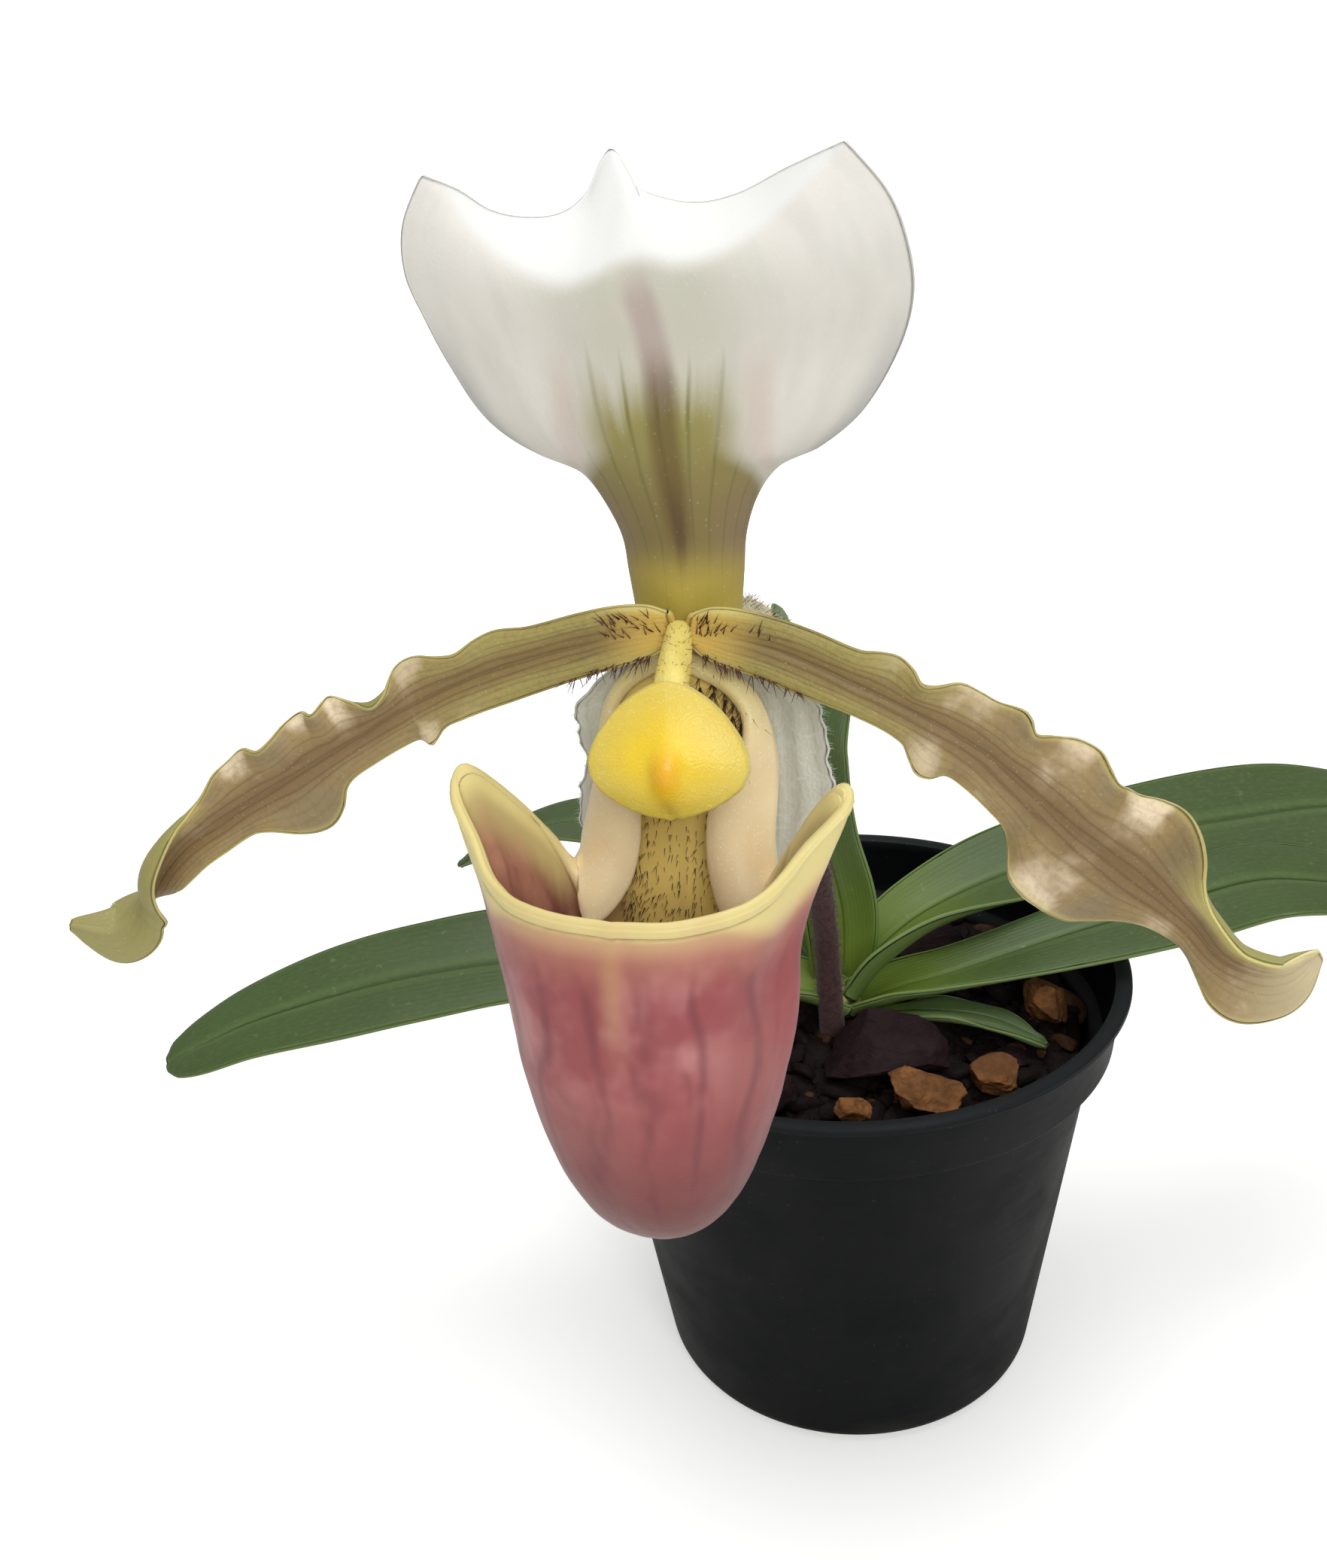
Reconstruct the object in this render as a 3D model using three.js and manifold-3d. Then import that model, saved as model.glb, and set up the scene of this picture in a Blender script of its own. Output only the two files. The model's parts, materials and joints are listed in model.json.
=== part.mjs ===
// A lady's slipper orchid in bloom in a small nursery pot: millimetres, +Z up, pot base centre at the origin.
// The flower looks along -Y and a little to the left.
import * as THREE from 'three';
import { mergeVertices } from 'three/addons/utils/BufferGeometryUtils.js';
import Module from 'manifold-3d';

const wasm = await Module();
wasm.setup();

// Driving dimensions of the pot
const potHeight = 56;
const potRimRadius = 35;
const potBaseRadius = 24.6;
const potShoulderRadius = 31;
const potShoulderHeight = 47;
const potBaseCorner = 2.5;
const potWall = 1.2;
const drainHoleRadius = 3;
const drainHoleCircle = 15;
const drainHoleCount = 6;

// Driving dimensions of the mix and of the clearance kept between neighbours
const mixTop = 47.5;
const clearance = 0.3;

// Where the flower's parts meet, and how the flower is turned
const flowerCentre = new THREE.Vector3(-19, -69.5, 124);
const flowerYaw = -13;
const flowerTilt = -6;
const lipYaw = -5.5;
const lipOffset = new THREE.Vector3(-0.5, -5.5, -16.2);

// Thicknesses
const leafThickness = 1.3;
const petalThickness = 0.8;
const dorsalThickness = 0.7;
const synsepalThickness = 0.6;
const lipThickness = 0.8;
const lapelThickness = 0.7;
const staminodeThickness = 0.9;
const bractThickness = 0.6;

// Leaf rows: place along the leaf, midrib x y z, half widths on both sides, roll in degrees,
// cupping in radians
const leafLeftLong = [
  [0.00, -2.5, -0.5, 49.7, 2.4, 2.4, 0, 1.3],
  [0.12, -11.5, -0.8, 54.8, 4.9, 5.2, 12, 0.9],
  [0.27, -24.0, -1.2, 58.4, 6.8, 7.0, 20, 0.6],
  [0.45, -40.0, -1.8, 60.2, 7.8, 8.0, 22, 0.35],
  [0.60, -52.5, -2.2, 59.4, 8.0, 8.0, 22, 0.2],
  [0.72, -62.0, -2.7, 57.8, 7.4, 7.2, 22, 0.15],
  [0.85, -73.0, -3.3, 54.9, 5.6, 5.2, 22, 0.1],
  [0.94, -80.0, -3.7, 52.0, 3.5, 3.2, 22, 0.1],
  [1.00, -84.2, -4.0, 50.2, 0.9, 0.9, 22, 0.1],
];
const leafLeftBack = [
  [0.00, -2.0, 2.9, 50.4, 1.9, 1.9, 0, 1.3],
  [0.20, -8.2, 10.6, 60.6, 4.4, 4.4, 0, 0.8],
  [0.45, -20.0, 15.8, 65.6, 6.8, 6.8, 0, 0.4],
  [0.70, -32.0, 19.4, 67.6, 6.8, 6.8, 0, 0.3],
  [0.90, -43.0, 21.0, 65.0, 4.2, 4.2, 0, 0.3],
  [1.00, -49.0, 21.5, 62.0, 0.7, 0.7, 0, 0.3],
];
const leafUpright = [
  [0.00, 0.3, 2.2, 51.2, 1.5, 1.5, 0, 1.4],
  [0.22, 0.3, 4.2, 60.0, 3.8, 3.9, 0, 1.3],
  [0.50, -0.9, 7.0, 70.0, 4.6, 5.0, 0, 1.0],
  [0.75, -0.6, 10.0, 79.5, 4.0, 4.2, 0, 0.8],
  [0.92, 1.6, 12.6, 86.5, 2.2, 2.2, 0, 0.7],
  [1.00, 3.0, 13.8, 89.5, 0.6, 0.6, 0, 0.7],
];
const leafRightUpper = [
  [0.00, 2.4, 1.4, 49.8, 2.2, 2.2, 0, 1.3],
  [0.12, 11.5, 5.2, 58.0, 4.6, 4.9, -4, 0.9],
  [0.27, 24.0, 9.4, 62.8, 6.6, 7.0, -12, 0.5],
  [0.45, 41.0, 14.4, 64.8, 7.8, 8.2, -20, 0.3],
  [0.62, 56.0, 18.0, 64.2, 8.6, 8.6, -22, 0.2],
  [0.77, 69.0, 20.8, 62.3, 8.2, 8.2, -22, 0.15],
  [0.91, 82.0, 24.0, 58.0, 5.4, 5.4, -22, 0.1],
  [1.00, 90.5, 26.5, 54.0, 0.9, 0.9, -22, 0.1],
];
const leafRightLower = [
  [0.00, 3.0, -1.4, 49.8, 2.0, 2.0, 0, 1.3],
  [0.15, 12.5, -3.8, 54.4, 4.6, 3.6, -4, 0.8],
  [0.33, 26.5, -3.4, 58.3, 6.8, 4.8, -8, 0.35],
  [0.52, 40.0, -0.8, 60.0, 7.4, 5.4, -12, 0.2],
  [0.70, 53.0, 3.0, 60.8, 6.6, 5.8, -18, 0.2],
  [0.87, 65.5, 6.0, 58.4, 4.6, 4.6, -20, 0.15],
  [1.00, 75.5, 9.0, 55.4, 0.8, 0.8, -20, 0.1],
];
const leafSmall = [
  [0.00, 3.0, -3.6, 49.2, 1.3, 1.3, 0, 1.2],
  [0.35, 10.0, -7.6, 51.6, 2.3, 2.3, 0, 0.8],
  [0.70, 16.8, -9.8, 51.4, 2.3, 2.3, 0, 0.5],
  [1.00, 22.5, -13.2, 49.6, 0.5, 0.5, 0, 0.4],
];

// Tube rows: place along the tube, centre x y z, radius
const scapeRows = [
  [0.00, -1.8, -4.6, 48.2, 1.6],
  [0.20, -2.6, -6.6, 64.0, 1.5],
  [0.40, -4.4, -13.0, 79.0, 1.4],
  [0.60, -6.8, -23.5, 92.5, 1.35],
  [0.80, -9.8, -36.5, 104.5, 1.35],
  [1.00, -12.05, -47.3, 112.2, 1.5],
];
const ovaryRows = [
  [0.00, 1.80, 24.0, -9.2, 1.6],
  [0.15, 1.78, 20.6, -7.3, 2.0],
  [0.45, 1.60, 13.4, -4.2, 2.3],
  [0.75, 1.20, 6.6, -1.9, 2.1],
  [0.92, 0.75, 2.7, -0.5, 1.6],
  [1.00, 0.60, 1.3, 0.0, 1.2],
];
const columnRows = [
  [0.00, 0.45, -0.75, 0.3, 0.7],
  [0.25, 0.50, -1.9, -0.3, 1.05],
  [0.55, 0.55, -3.3, -1.5, 1.15],
  [0.80, 0.60, -4.4, -2.5, 1.3],
  [1.00, 0.60, -4.8, -3.6, 1.2],
];

// Flower rows, in the flower's own frame
const petalLeft = [
  [0.00, -1.0, -1.0, -0.4, 1.6, 1.7, 0, 0.3],
  [0.08, -4.6, -1.2, -1.1, 2.1, 2.0, 0, 0.3],
  [0.24, -12.2, -1.8, -3.1, 2.3, 2.2, 0, 0.25],
  [0.35, -17.4, -2.2, -5.2, 2.5, 2.4, 0, 0.2],
  [0.47, -22.7, -2.8, -8.1, 2.8, 2.8, 0, 0.2],
  [0.57, -27.1, -3.2, -10.6, 3.3, 3.3, 0, 0.2],
  [0.68, -31.6, -3.6, -13.2, 3.1, 2.9, 10, 0.3],
  [0.76, -34.6, -4.0, -15.2, 2.9, 2.6, 35, 0.4],
  [0.82, -36.6, -4.4, -17.4, 2.7, 2.5, 75, 0.3],
  [0.88, -37.9, -4.8, -19.6, 2.6, 2.6, 120, 0.2],
  [0.94, -40.2, -5.6, -21.4, 2.2, 2.2, 150, 0.4],
  [1.00, -43.5, -6.0, -20.8, 0.4, 0.4, 160, 0.5],
];
const petalRight = [
  [0.00, 1.9, -1.0, -0.5, 1.6, 1.6, 0, 0.3],
  [0.11, 6.7, -1.1, -1.8, 2.0, 2.1, 0, 0.3],
  [0.22, 11.3, -1.1, -3.8, 2.2, 2.3, 0, 0.25],
  [0.31, 15.3, -0.9, -5.8, 2.4, 2.4, 0, 0.2],
  [0.41, 19.3, -0.6, -8.2, 2.8, 2.7, 0, 0.1],
  [0.50, 22.4, -0.4, -10.9, 3.6, 3.4, 0, 0.0],
  [0.60, 25.8, -0.3, -14.0, 4.3, 4.3, 0, -0.1],
  [0.69, 29.3, -0.2, -16.7, 3.6, 4.2, -5, -0.2],
  [0.78, 32.7, -0.2, -19.7, 2.3, 2.9, -10, -0.2],
  [0.86, 35.0, -0.2, -22.4, 2.2, 2.4, -20, 0.0],
  [0.93, 38.1, 0.0, -23.4, 2.2, 2.0, -30, 0.3],
  [1.00, 40.8, 0.3, -21.9, 0.4, 0.4, -30, 0.3],
];
const synsepalRows = [
  [0.00, 0.6, 2.6, -2.9, 5.0, 5.0, 0, -0.2],
  [0.15, 0.6, 3.5, -5.8, 8.2, 8.2, 0, -0.2],
  [0.35, 0.6, 4.5, -10.0, 8.8, 8.8, 0, -0.2],
  [0.55, 0.4, 5.2, -15.0, 8.8, 8.8, 0, -0.2],
  [0.75, 0.3, 5.2, -19.5, 7.6, 7.6, 0, -0.2],
  [0.90, 0.2, 4.8, -23.5, 4.8, 4.8, 0, -0.2],
  [1.00, 0.2, 4.4, -26.5, 0.6, 0.6, 0, -0.2],
];
const bractRows = [
  [0.00, 4.5, 24.0, -8.6, 3.4, 3.4, 0, 1.2],
  [0.35, 5.0, 19.8, -5.8, 4.2, 4.2, 0, 1.2],
  [0.70, 5.2, 15.8, -2.8, 3.0, 3.0, 0, 0.9],
  [1.00, 4.6, 12.2, -0.2, 0.4, 0.4, 0, 0.6],
];

// Dorsal sepal rows: place, midline x y z, half width left and right, and how far the margins roll
// back, in radians
const dorsalRows = [
  [0.00, 0.5, 0.3, 0.3, 6.4, 5.6, 1.75],
  [0.09, 0.5, 0.1, 2.5, 6.9, 6.3, 1.75],
  [0.18, 0.5, -0.1, 5.0, 7.6, 6.9, 1.75],
  [0.26, 0.3, -0.4, 7.3, 9.2, 8.3, 1.70],
  [0.33, 0.1, -0.8, 9.2, 10.6, 9.4, 1.50],
  [0.38, 0.0, -1.2, 10.4, 11.2, 10.6, 0.95],
  [0.46, -0.1, -1.9, 12.7, 12.4, 12.6, 0.55],
  [0.59, 0.0, -3.0, 16.4, 13.8, 14.5, 0.35],
  [0.70, 0.0, -4.1, 19.4, 14.4, 15.2, 0.25],
  [0.80, -0.5, -4.8, 22.2, 14.4, 15.4, 0.20],
  [0.90, -1.8, -4.6, 25.2, 13.0, 15.6, 0.20],
  [1.00, -3.4, -3.8, 28.3, 10.2, 14.8, 0.20],
];
// How far the top margin dips below its pointed middle, from the left shoulder to the right one
const dorsalDip = [
  [-1.0, -1.2], [-0.83, -2.0], [-0.64, -3.3], [-0.44, -3.8], [-0.24, -3.6], [-0.11, -2.5], [-0.06, -0.9],
  [0.0, 0.0], [0.05, -0.6], [0.11, -2.0], [0.23, -3.0], [0.40, -3.5], [0.57, -3.1], [0.75, -2.0], [1.0, -0.8],
];
// Height of the crest where the top margin turns back, against x
const dorsalCrest = [
  [-12.6, 26.6], [-11.0, 24.3], [-8.9, 22.3], [-6.7, 20.9], [-4.6, 20.4], [-2.7, 20.9], [-1.3, 21.5],
  [0.0, 21.6], [2.1, 21.2], [4.3, 21.6], [6.5, 22.7], [8.3, 24.2], [10.0, 25.9], [11.5, 27.4],
];
const dorsalRecurve = 0.9;

// Lip rows: degrees round the slipper from the front, rim or fold x y z, free margin x y z, and the
// bulge between them
const lipRim = [
  [0, 0.0, -8.6, 0.0, 0.0, -9.3, 0.5, 0, 0, 0.3],
  [30, 5.0, -7.7, 0.2, 5.3, -8.3, 0.8, 0, 0, 0.3],
  [55, 8.7, -5.2, 0.6, 9.3, -5.6, 1.2, 0, 0, 0.3],
  [75, 11.0, -2.6, 2.6, 11.7, -2.8, 3.2, 0, 0, 0.3],
  [88, 12.9, -0.6, 6.2, 13.5, -0.5, 6.6, 0, 0, 0.3],
  [96, 12.0, 0.4, 7.1, 12.3, 0.5, 7.6, 0, 0, 0.3],
  [106, 9.6, 2.2, 3.4, 9.6, 2.4, 3.9, 0, 0, 0.2],
  [116, 7.6, 4.0, -0.4, 7.0, 3.2, -0.8, 0, 0, 0.3],
  [126, 6.8, 4.9, -0.4, 5.4, 1.8, -4.0, -0.2, -0.8, 0.8],
  [138, 6.2, 5.5, 1.6, 3.1, 3.4, -1.6, -0.2, -1.8, 0.8],
  [150, 6.0, 6.1, 5.8, 2.4, 4.2, 3.4, -0.2, -2.0, 0.6],
  [163, 5.6, 6.3, 9.6, 2.2, 4.7, 8.0, 0, -1.6, 0.4],
  [172, 4.0, 6.4, 12.2, 2.0, 5.3, 11.2, 0, -0.8, 0.3],
  [180, 0.0, 6.4, 13.7, 0.0, 5.7, 13.3, 0, 0, 0.2],
];
const slipperDepth = 24.6;
const slipperHalfWidth = 9.5;
const slipperFrontReach = 7.8;
const slipperBackReach = 7.0;
const lapelStart = 116;
const lapelBlend = 12;
const lapelEnd = 168;

// Staminode outline: degrees from the top, distance from the middle of the shield
const staminodeEdge = [
  [0, 4.9], [29, 4.5], [59, 4.5], [78, 4.8], [93, 5.05], [107, 4.9], [126, 4.25], [150, 3.75], [180, 3.6],
];
const staminodeCentre = new THREE.Vector3(0.5, -6.2, -7.6);
const staminodeTilt = -10;
const staminodeDome = 1.5;

// Colours
const colours = {
  pot: 0x1b1f20, mix: 0x2c211c, darkBark: 0x33231f, tanBark: 0x8a6243, purpleBark: 0x2b1d1f, leaf: 0x55683f,
  youngLeaf: 0x74843a, scape: 0x4a3330, ovary: 0xb3a983, bract: 0x6f8a4c, white: 0xe9e6df,
  petal: 0xa99a70, synsepal: 0xa9a68c, lip: 0x9a5f5c, column: 0xd9b850, staminode: 0xf2cf47,
  stigma: 0xd8cf9a, anther: 0xc9a24a,
};

const degrees = Math.PI / 180;
const object = new THREE.Group();

function add(name, geometry, colour, roughness = 0.6) {
  const material = new THREE.MeshStandardMaterial({ color: colour, roughness, metalness: 0 });
  const mesh = new THREE.Mesh(geometry, material);
  mesh.name = name;
  object.add(mesh);
}

// A smooth curve through rows of values, each row led by its place along the curve
function along(rows, place) {
  const last = rows.length - 1;
  let i = 0;
  while (i < last - 1 && rows[i + 1][0] <= place) i += 1;
  const slope = (row, k) => {
    const before = rows[Math.max(row - 1, 0)];
    const after = rows[Math.min(row + 1, last)];
    return (after[k] - before[k]) / (after[0] - before[0]);
  };
  const step = rows[i + 1][0] - rows[i][0];
  const u = (place - rows[i][0]) / step;
  const values = [];
  for (let k = 1; k < rows[0].length; k += 1) {
    const start = rows[i][k];
    const end = rows[i + 1][k];
    values.push(start * (2 * u ** 3 - 3 * u ** 2 + 1) + end * (3 * u ** 2 - 2 * u ** 3)
      + step * (slope(i, k) * (u ** 3 - 2 * u ** 2 + u) + slope(i + 1, k) * (u ** 3 - u ** 2)));
  }
  return values;
}

function steps(count, from = 0, to = 1) {
  return Array.from({ length: count + 1 }, (_, i) => from + (to - from) * i / count);
}

function geometryFrom(points, triangles) {
  const geometry = new THREE.BufferGeometry();
  const places = points.flatMap((point) => [point.x, point.y, point.z]);
  geometry.setAttribute('position', new THREE.Float32BufferAttribute(places, 3));
  geometry.setIndex(triangles);
  return geometry;
}

// A closed thin body round a grid of points: grid[i][j], with i across and j along.
// A ring joins its last column to its first, and a pole is a first row drawn together in one point.
function shell(grid, thickness, { ring = false, pole = false } = {}) {
  const across = grid.length;
  const lengthwise = grid[0].length;
  const column = (i) => (ring ? (i + across) % across : Math.min(Math.max(i, 0), across - 1));
  const points = [];
  const index = [[], []];
  [1, -1].forEach((face, side) => {
    for (let i = 0; i < across; i += 1) {
      index[side].push([]);
      for (let j = 0; j < lengthwise; j += 1) {
        if (pole && j === 0 && i > 0) {
          index[side][i].push(index[side][0][0]);
          continue;
        }
        let normal;
        if (pole && j === 0) {
          const near = (k) => grid[Math.round(k * across / 4) % across][1];
          const first = near(1).clone().sub(near(3));
          const second = near(2).clone().sub(near(0));
          normal = second.cross(first).normalize();
        } else {
          const sideways = grid[column(i + 1)][j].clone().sub(grid[column(i - 1)][j]);
          const forwards = grid[i][Math.min(j + 1, lengthwise - 1)].clone().sub(grid[i][Math.max(j - 1, 0)]);
          normal = sideways.cross(forwards).normalize();
        }
        index[side][i].push(points.length);
        points.push(grid[i][j].clone().addScaledVector(normal, face * thickness / 2));
      }
    }
  });
  const triangles = [];
  const quad = (a, b, c, d) => {
    if (a !== b && b !== c && c !== a) triangles.push(a, b, c);
    if (a !== c && c !== d && d !== a) triangles.push(a, c, d);
  };
  const [front, back] = index;
  const strips = ring ? across : across - 1;
  for (let i = 0; i < strips; i += 1) {
    const next = (i + 1) % across;
    for (let j = 0; j < lengthwise - 1; j += 1) {
      quad(front[i][j], front[next][j], front[next][j + 1], front[i][j + 1]);
      quad(back[i][j], back[i][j + 1], back[next][j + 1], back[next][j]);
    }
    const end = lengthwise - 1;
    quad(front[i][end], front[next][end], back[next][end], back[i][end]);
    if (!pole) quad(front[next][0], front[i][0], back[i][0], back[next][0]);
  }
  if (!ring) {
    const right = across - 1;
    for (let j = 0; j < lengthwise - 1; j += 1) {
      quad(front[right][j], back[right][j], back[right][j + 1], front[right][j + 1]);
      quad(front[0][j + 1], back[0][j + 1], back[0][j], front[0][j]);
    }
  }
  return geometryFrom(points, triangles);
}

// A leaf-like blade: sections across a midrib, each rolled and cupped, with a wavy margin where
// ripple asks for it
function bladeGrid(rows, side, columns, count, ripple = { height: 0, widening: 0, waves: 0 }) {
  const at = (t) => new THREE.Vector3(...along(rows, t));
  return steps(columns, -1, 1).map((s) => steps(count).map((t) => {
    const [x, y, z, widePlus, wideMinus, roll, cup] = along(rows, t);
    const tangent = at(Math.min(t + 0.001, 1)).sub(at(Math.max(t - 0.001, 0))).normalize();
    const level = side.clone().addScaledVector(tangent, -side.dot(tangent)).normalize();
    const up = level.clone().cross(tangent);
    const turn = roll * degrees;
    const outwards = level.clone().multiplyScalar(Math.cos(turn)).addScaledVector(up, Math.sin(turn));
    const facing = level.clone().multiplyScalar(-Math.sin(turn)).addScaledVector(up, Math.cos(turn));
    const reach = Math.abs(s);
    const phase = 2 * Math.PI * ripple.waves * t + (s > 0 ? 0 : 1.9);
    const growing = Math.min(3 * t, 1);
    const widening = 1 + ripple.widening * reach ** 2 * Math.sin(phase) * growing;
    const wide = (s > 0 ? widePlus : wideMinus) * widening;
    const bend = Math.abs(cup) < 0.001 ? 0.001 : cup;
    const outward = wide * Math.sin(bend * reach) / bend;
    const waving = ripple.height * reach ** 3 * Math.cos(phase) * growing;
    const lift = wide * (1 - Math.cos(bend * reach)) / bend + waving;
    return new THREE.Vector3(x, y, z)
      .addScaledVector(outwards, Math.sign(s) * outward)
      .addScaledVector(facing, lift);
  }));
}

// A round stem through rows of centre and radius, with flat ends
function stem(rows, sides, count) {
  const at = (t) => new THREE.Vector3(...along(rows, t));
  const points = [];
  const triangles = [];
  steps(count).forEach((t) => {
    const tangent = at(Math.min(t + 0.001, 1)).sub(at(Math.max(t - 0.001, 0))).normalize();
    const across = new THREE.Vector3(1, 0, 0).addScaledVector(tangent, -tangent.x).normalize();
    const third = tangent.clone().cross(across);
    const radius = along(rows, t)[3];
    steps(sides - 1, 0, 2 * Math.PI * (sides - 1) / sides).forEach((angle) => {
      points.push(at(t)
        .addScaledVector(across, radius * Math.cos(angle))
        .addScaledVector(third, radius * Math.sin(angle)));
    });
  });
  for (let j = 0; j < count; j += 1) {
    for (let i = 0; i < sides; i += 1) {
      const here = j * sides + i;
      const beside = j * sides + (i + 1) % sides;
      triangles.push(here, beside, beside + sides, here, beside + sides, here + sides);
    }
  }
  const first = points.push(at(0)) - 1;
  const last = points.push(at(1)) - 1;
  for (let i = 0; i < sides; i += 1) {
    const beside = (i + 1) % sides;
    triangles.push(first, beside, i, last, count * sides + i, count * sides + beside);
  }
  return geometryFrom(points, triangles);
}

// Solids for cutting one body clear of another
function solid(geometry) {
  const bare = geometry.clone();
  bare.deleteAttribute('normal');
  bare.deleteAttribute('uv');
  const merged = mergeVertices(bare, 1e-4);
  return new wasm.Manifold(new wasm.Mesh({
    numProp: 3,
    vertProperties: new Float32Array(merged.attributes.position.array),
    triVerts: new Uint32Array(merged.index.array),
  }));
}

function geometryOf(body) {
  const mesh = body.getMesh();
  const geometry = new THREE.BufferGeometry();
  geometry.setAttribute('position', new THREE.BufferAttribute(mesh.vertProperties, 3));
  geometry.setIndex(new THREE.BufferAttribute(mesh.triVerts, 1));
  return geometry;
}

function cutClear(geometry, ...cutters) {
  let body = solid(geometry);
  cutters.forEach((cutter) => {
    body = body.subtract(solid(cutter));
  });
  return geometryOf(body);
}

function grownTogether(geometry, ...others) {
  let body = solid(geometry);
  others.forEach((other) => {
    body = body.add(solid(other));
  });
  return geometryOf(body);
}

function grown(rows, extra) {
  return rows.map((row) => [...row.slice(0, 4), row[4] + extra]);
}

function wider(rows, extra) {
  return rows.map((row) => [...row.slice(0, 4), row[4] + extra, row[5] + extra, ...row.slice(6)]);
}

// The flower's frame: yawed and tilted about the point where its parts meet
const flowerTurn = new THREE.Matrix4().makeRotationZ(flowerYaw * degrees)
  .multiply(new THREE.Matrix4().makeRotationX(flowerTilt * degrees));
const flowerPlace = new THREE.Matrix4().setPosition(flowerCentre).multiply(flowerTurn);
const lipPlace = flowerPlace.clone().multiply(new THREE.Matrix4().makeRotationZ(lipYaw * degrees))
  .multiply(new THREE.Matrix4().setPosition(lipOffset));

function moved(grid, place) {
  return grid.map((column) => column.map((point) => point.clone().applyMatrix4(place)));
}

function movedRows(rows, place) {
  return rows.map(([t, x, y, z, radius]) => {
    const centre = new THREE.Vector3(x, y, z).applyMatrix4(place);
    return [t, ...centre.toArray(), radius];
  });
}

// The nursery pot, thin-walled, with a stepped collar and holes in a ring round its solid middle
function potGeometry() {
  const profile = [];
  const point = (r, z) => profile.push(new THREE.Vector2(r, z));
  point(0, 0);
  for (const u of steps(4)) {
    const angle = -Math.PI / 2 + u * (Math.PI / 2 - 0.1);
    const flat = potBaseRadius - potBaseCorner;
    point(flat + potBaseCorner * Math.cos(angle), potBaseCorner + potBaseCorner * Math.sin(angle));
  }
  point(potShoulderRadius, potShoulderHeight);
  point(potShoulderRadius + 2.2, potShoulderHeight + 0.8);
  point(potRimRadius - 0.9, potHeight - 1.2);
  point(potRimRadius, potHeight - 0.8);
  point(potRimRadius, potHeight);
  point(potRimRadius - 2.0, potHeight);
  point(potShoulderRadius + 1.2, potShoulderHeight + 1.6);
  point(potShoulderRadius - potWall, potShoulderHeight + 0.4);
  point(potBaseRadius - potWall, potBaseCorner + 0.4);
  point(potBaseRadius - potBaseCorner, potWall);
  point(0, potWall);
  const body = new THREE.LatheGeometry(profile, 40);
  body.rotateX(Math.PI / 2);
  const holes = Array.from({ length: drainHoleCount }, (_, i) => {
    const hole = new THREE.CylinderGeometry(drainHoleRadius, drainHoleRadius, 3 * potWall, 12);
    hole.rotateX(Math.PI / 2);
    const angle = 2 * Math.PI * i / drainHoleCount;
    hole.translate(drainHoleCircle * Math.cos(angle), drainHoleCircle * Math.sin(angle), potWall / 2);
    return hole;
  });
  return cutClear(body, ...holes);
}

// The potting mix: one body that follows the inside of the pot
function mixGeometry() {
  const low = potWall + clearance;
  const flare = (potShoulderRadius - potBaseRadius) / potShoulderHeight;
  const inside = (z) => potBaseRadius + flare * z - potWall - 0.6;
  const profile = [
    [0, low], [potBaseRadius - potBaseCorner - 1, low], [inside(4) - 0.4, 4], [inside(30), 30],
    [inside(mixTop) - 0.4, mixTop - 1], [inside(mixTop) - 1.6, mixTop], [0, mixTop],
  ].map(([r, z]) => new THREE.Vector2(r, z));
  const geometry = new THREE.LatheGeometry(profile, 32);
  geometry.rotateX(Math.PI / 2);
  return geometry;
}

// A chip of bark: a rough block, wider than tall, that rests on the mix
function chipGeometry([x, y, lift, long, wide, tall, turn]) {
  const rough = new THREE.IcosahedronGeometry(1, 0);
  rough.deleteAttribute('normal');
  rough.deleteAttribute('uv');
  const geometry = mergeVertices(rough);
  const place = geometry.attributes.position;
  const flat = 0.75;
  for (let i = 0; i < place.count; i += 1) {
    place.setZ(i, Math.min(Math.max(place.getZ(i), -flat), flat));
  }
  geometry.scale(long / 2, wide / 2, tall / 2 / flat);
  geometry.rotateZ(turn * degrees);
  geometry.translate(x, y, mixTop + clearance + lift + tall / 2);
  return geometry;
}

add('nursery_pot', potGeometry(), colours.pot, 0.5);
add('potting_mix', mixGeometry(), colours.mix, 0.95);

// Bark chips: x, y, lift above the mix, length, width, height, turn in degrees
const chips = [
  [3.2, -13.4, 0, 17, 11, 6, 10, colours.purpleBark],
  [-1.6, -21.8, 0, 6, 5, 3.4, 20, colours.tanBark],
  [7.0, -22.0, 0, 10, 6, 5, -15, colours.tanBark],
  [15.2, -18.4, 0, 6.5, 5, 4, 40, colours.tanBark],
  [24.6, -4.6, 0, 6, 9, 5.4, 15, colours.tanBark],
  [19.6, -12.4, 0, 6, 5, 1.2, 60, colours.darkBark],
  [23.2, 6.4, 0, 8, 6, 4, 70, colours.darkBark],
  [13.6, 14.0, 0, 11, 8, 4.6, 35, colours.darkBark],
  [2.6, 19.8, 0, 10, 7, 4.2, -10, colours.darkBark],
  [-8.8, 18.0, 0, 8, 7, 4.6, 25, colours.purpleBark],
  [-18.0, 12.4, 0, 9, 7, 4, -40, colours.darkBark],
  [-22.6, 2.0, 0, 8, 6, 3.6, 80, colours.tanBark],
  [-20.6, -8.4, 0, 9, 7, 4.4, 50, colours.darkBark],
  [-11.6, -17.2, 0, 10, 7, 4.6, -30, colours.purpleBark],
  [-10.8, -7.0, 0, 7, 6, 2.6, 15, colours.darkBark],
  [-9.6, 7.0, 0, 8, 6, 3, -20, colours.darkBark],
];
chips.forEach((chip, i) => {
  add(`bark_chip_${String(i + 1).padStart(2, '0')}`, chipGeometry(chip), chip[7], 0.9);
});

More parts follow.
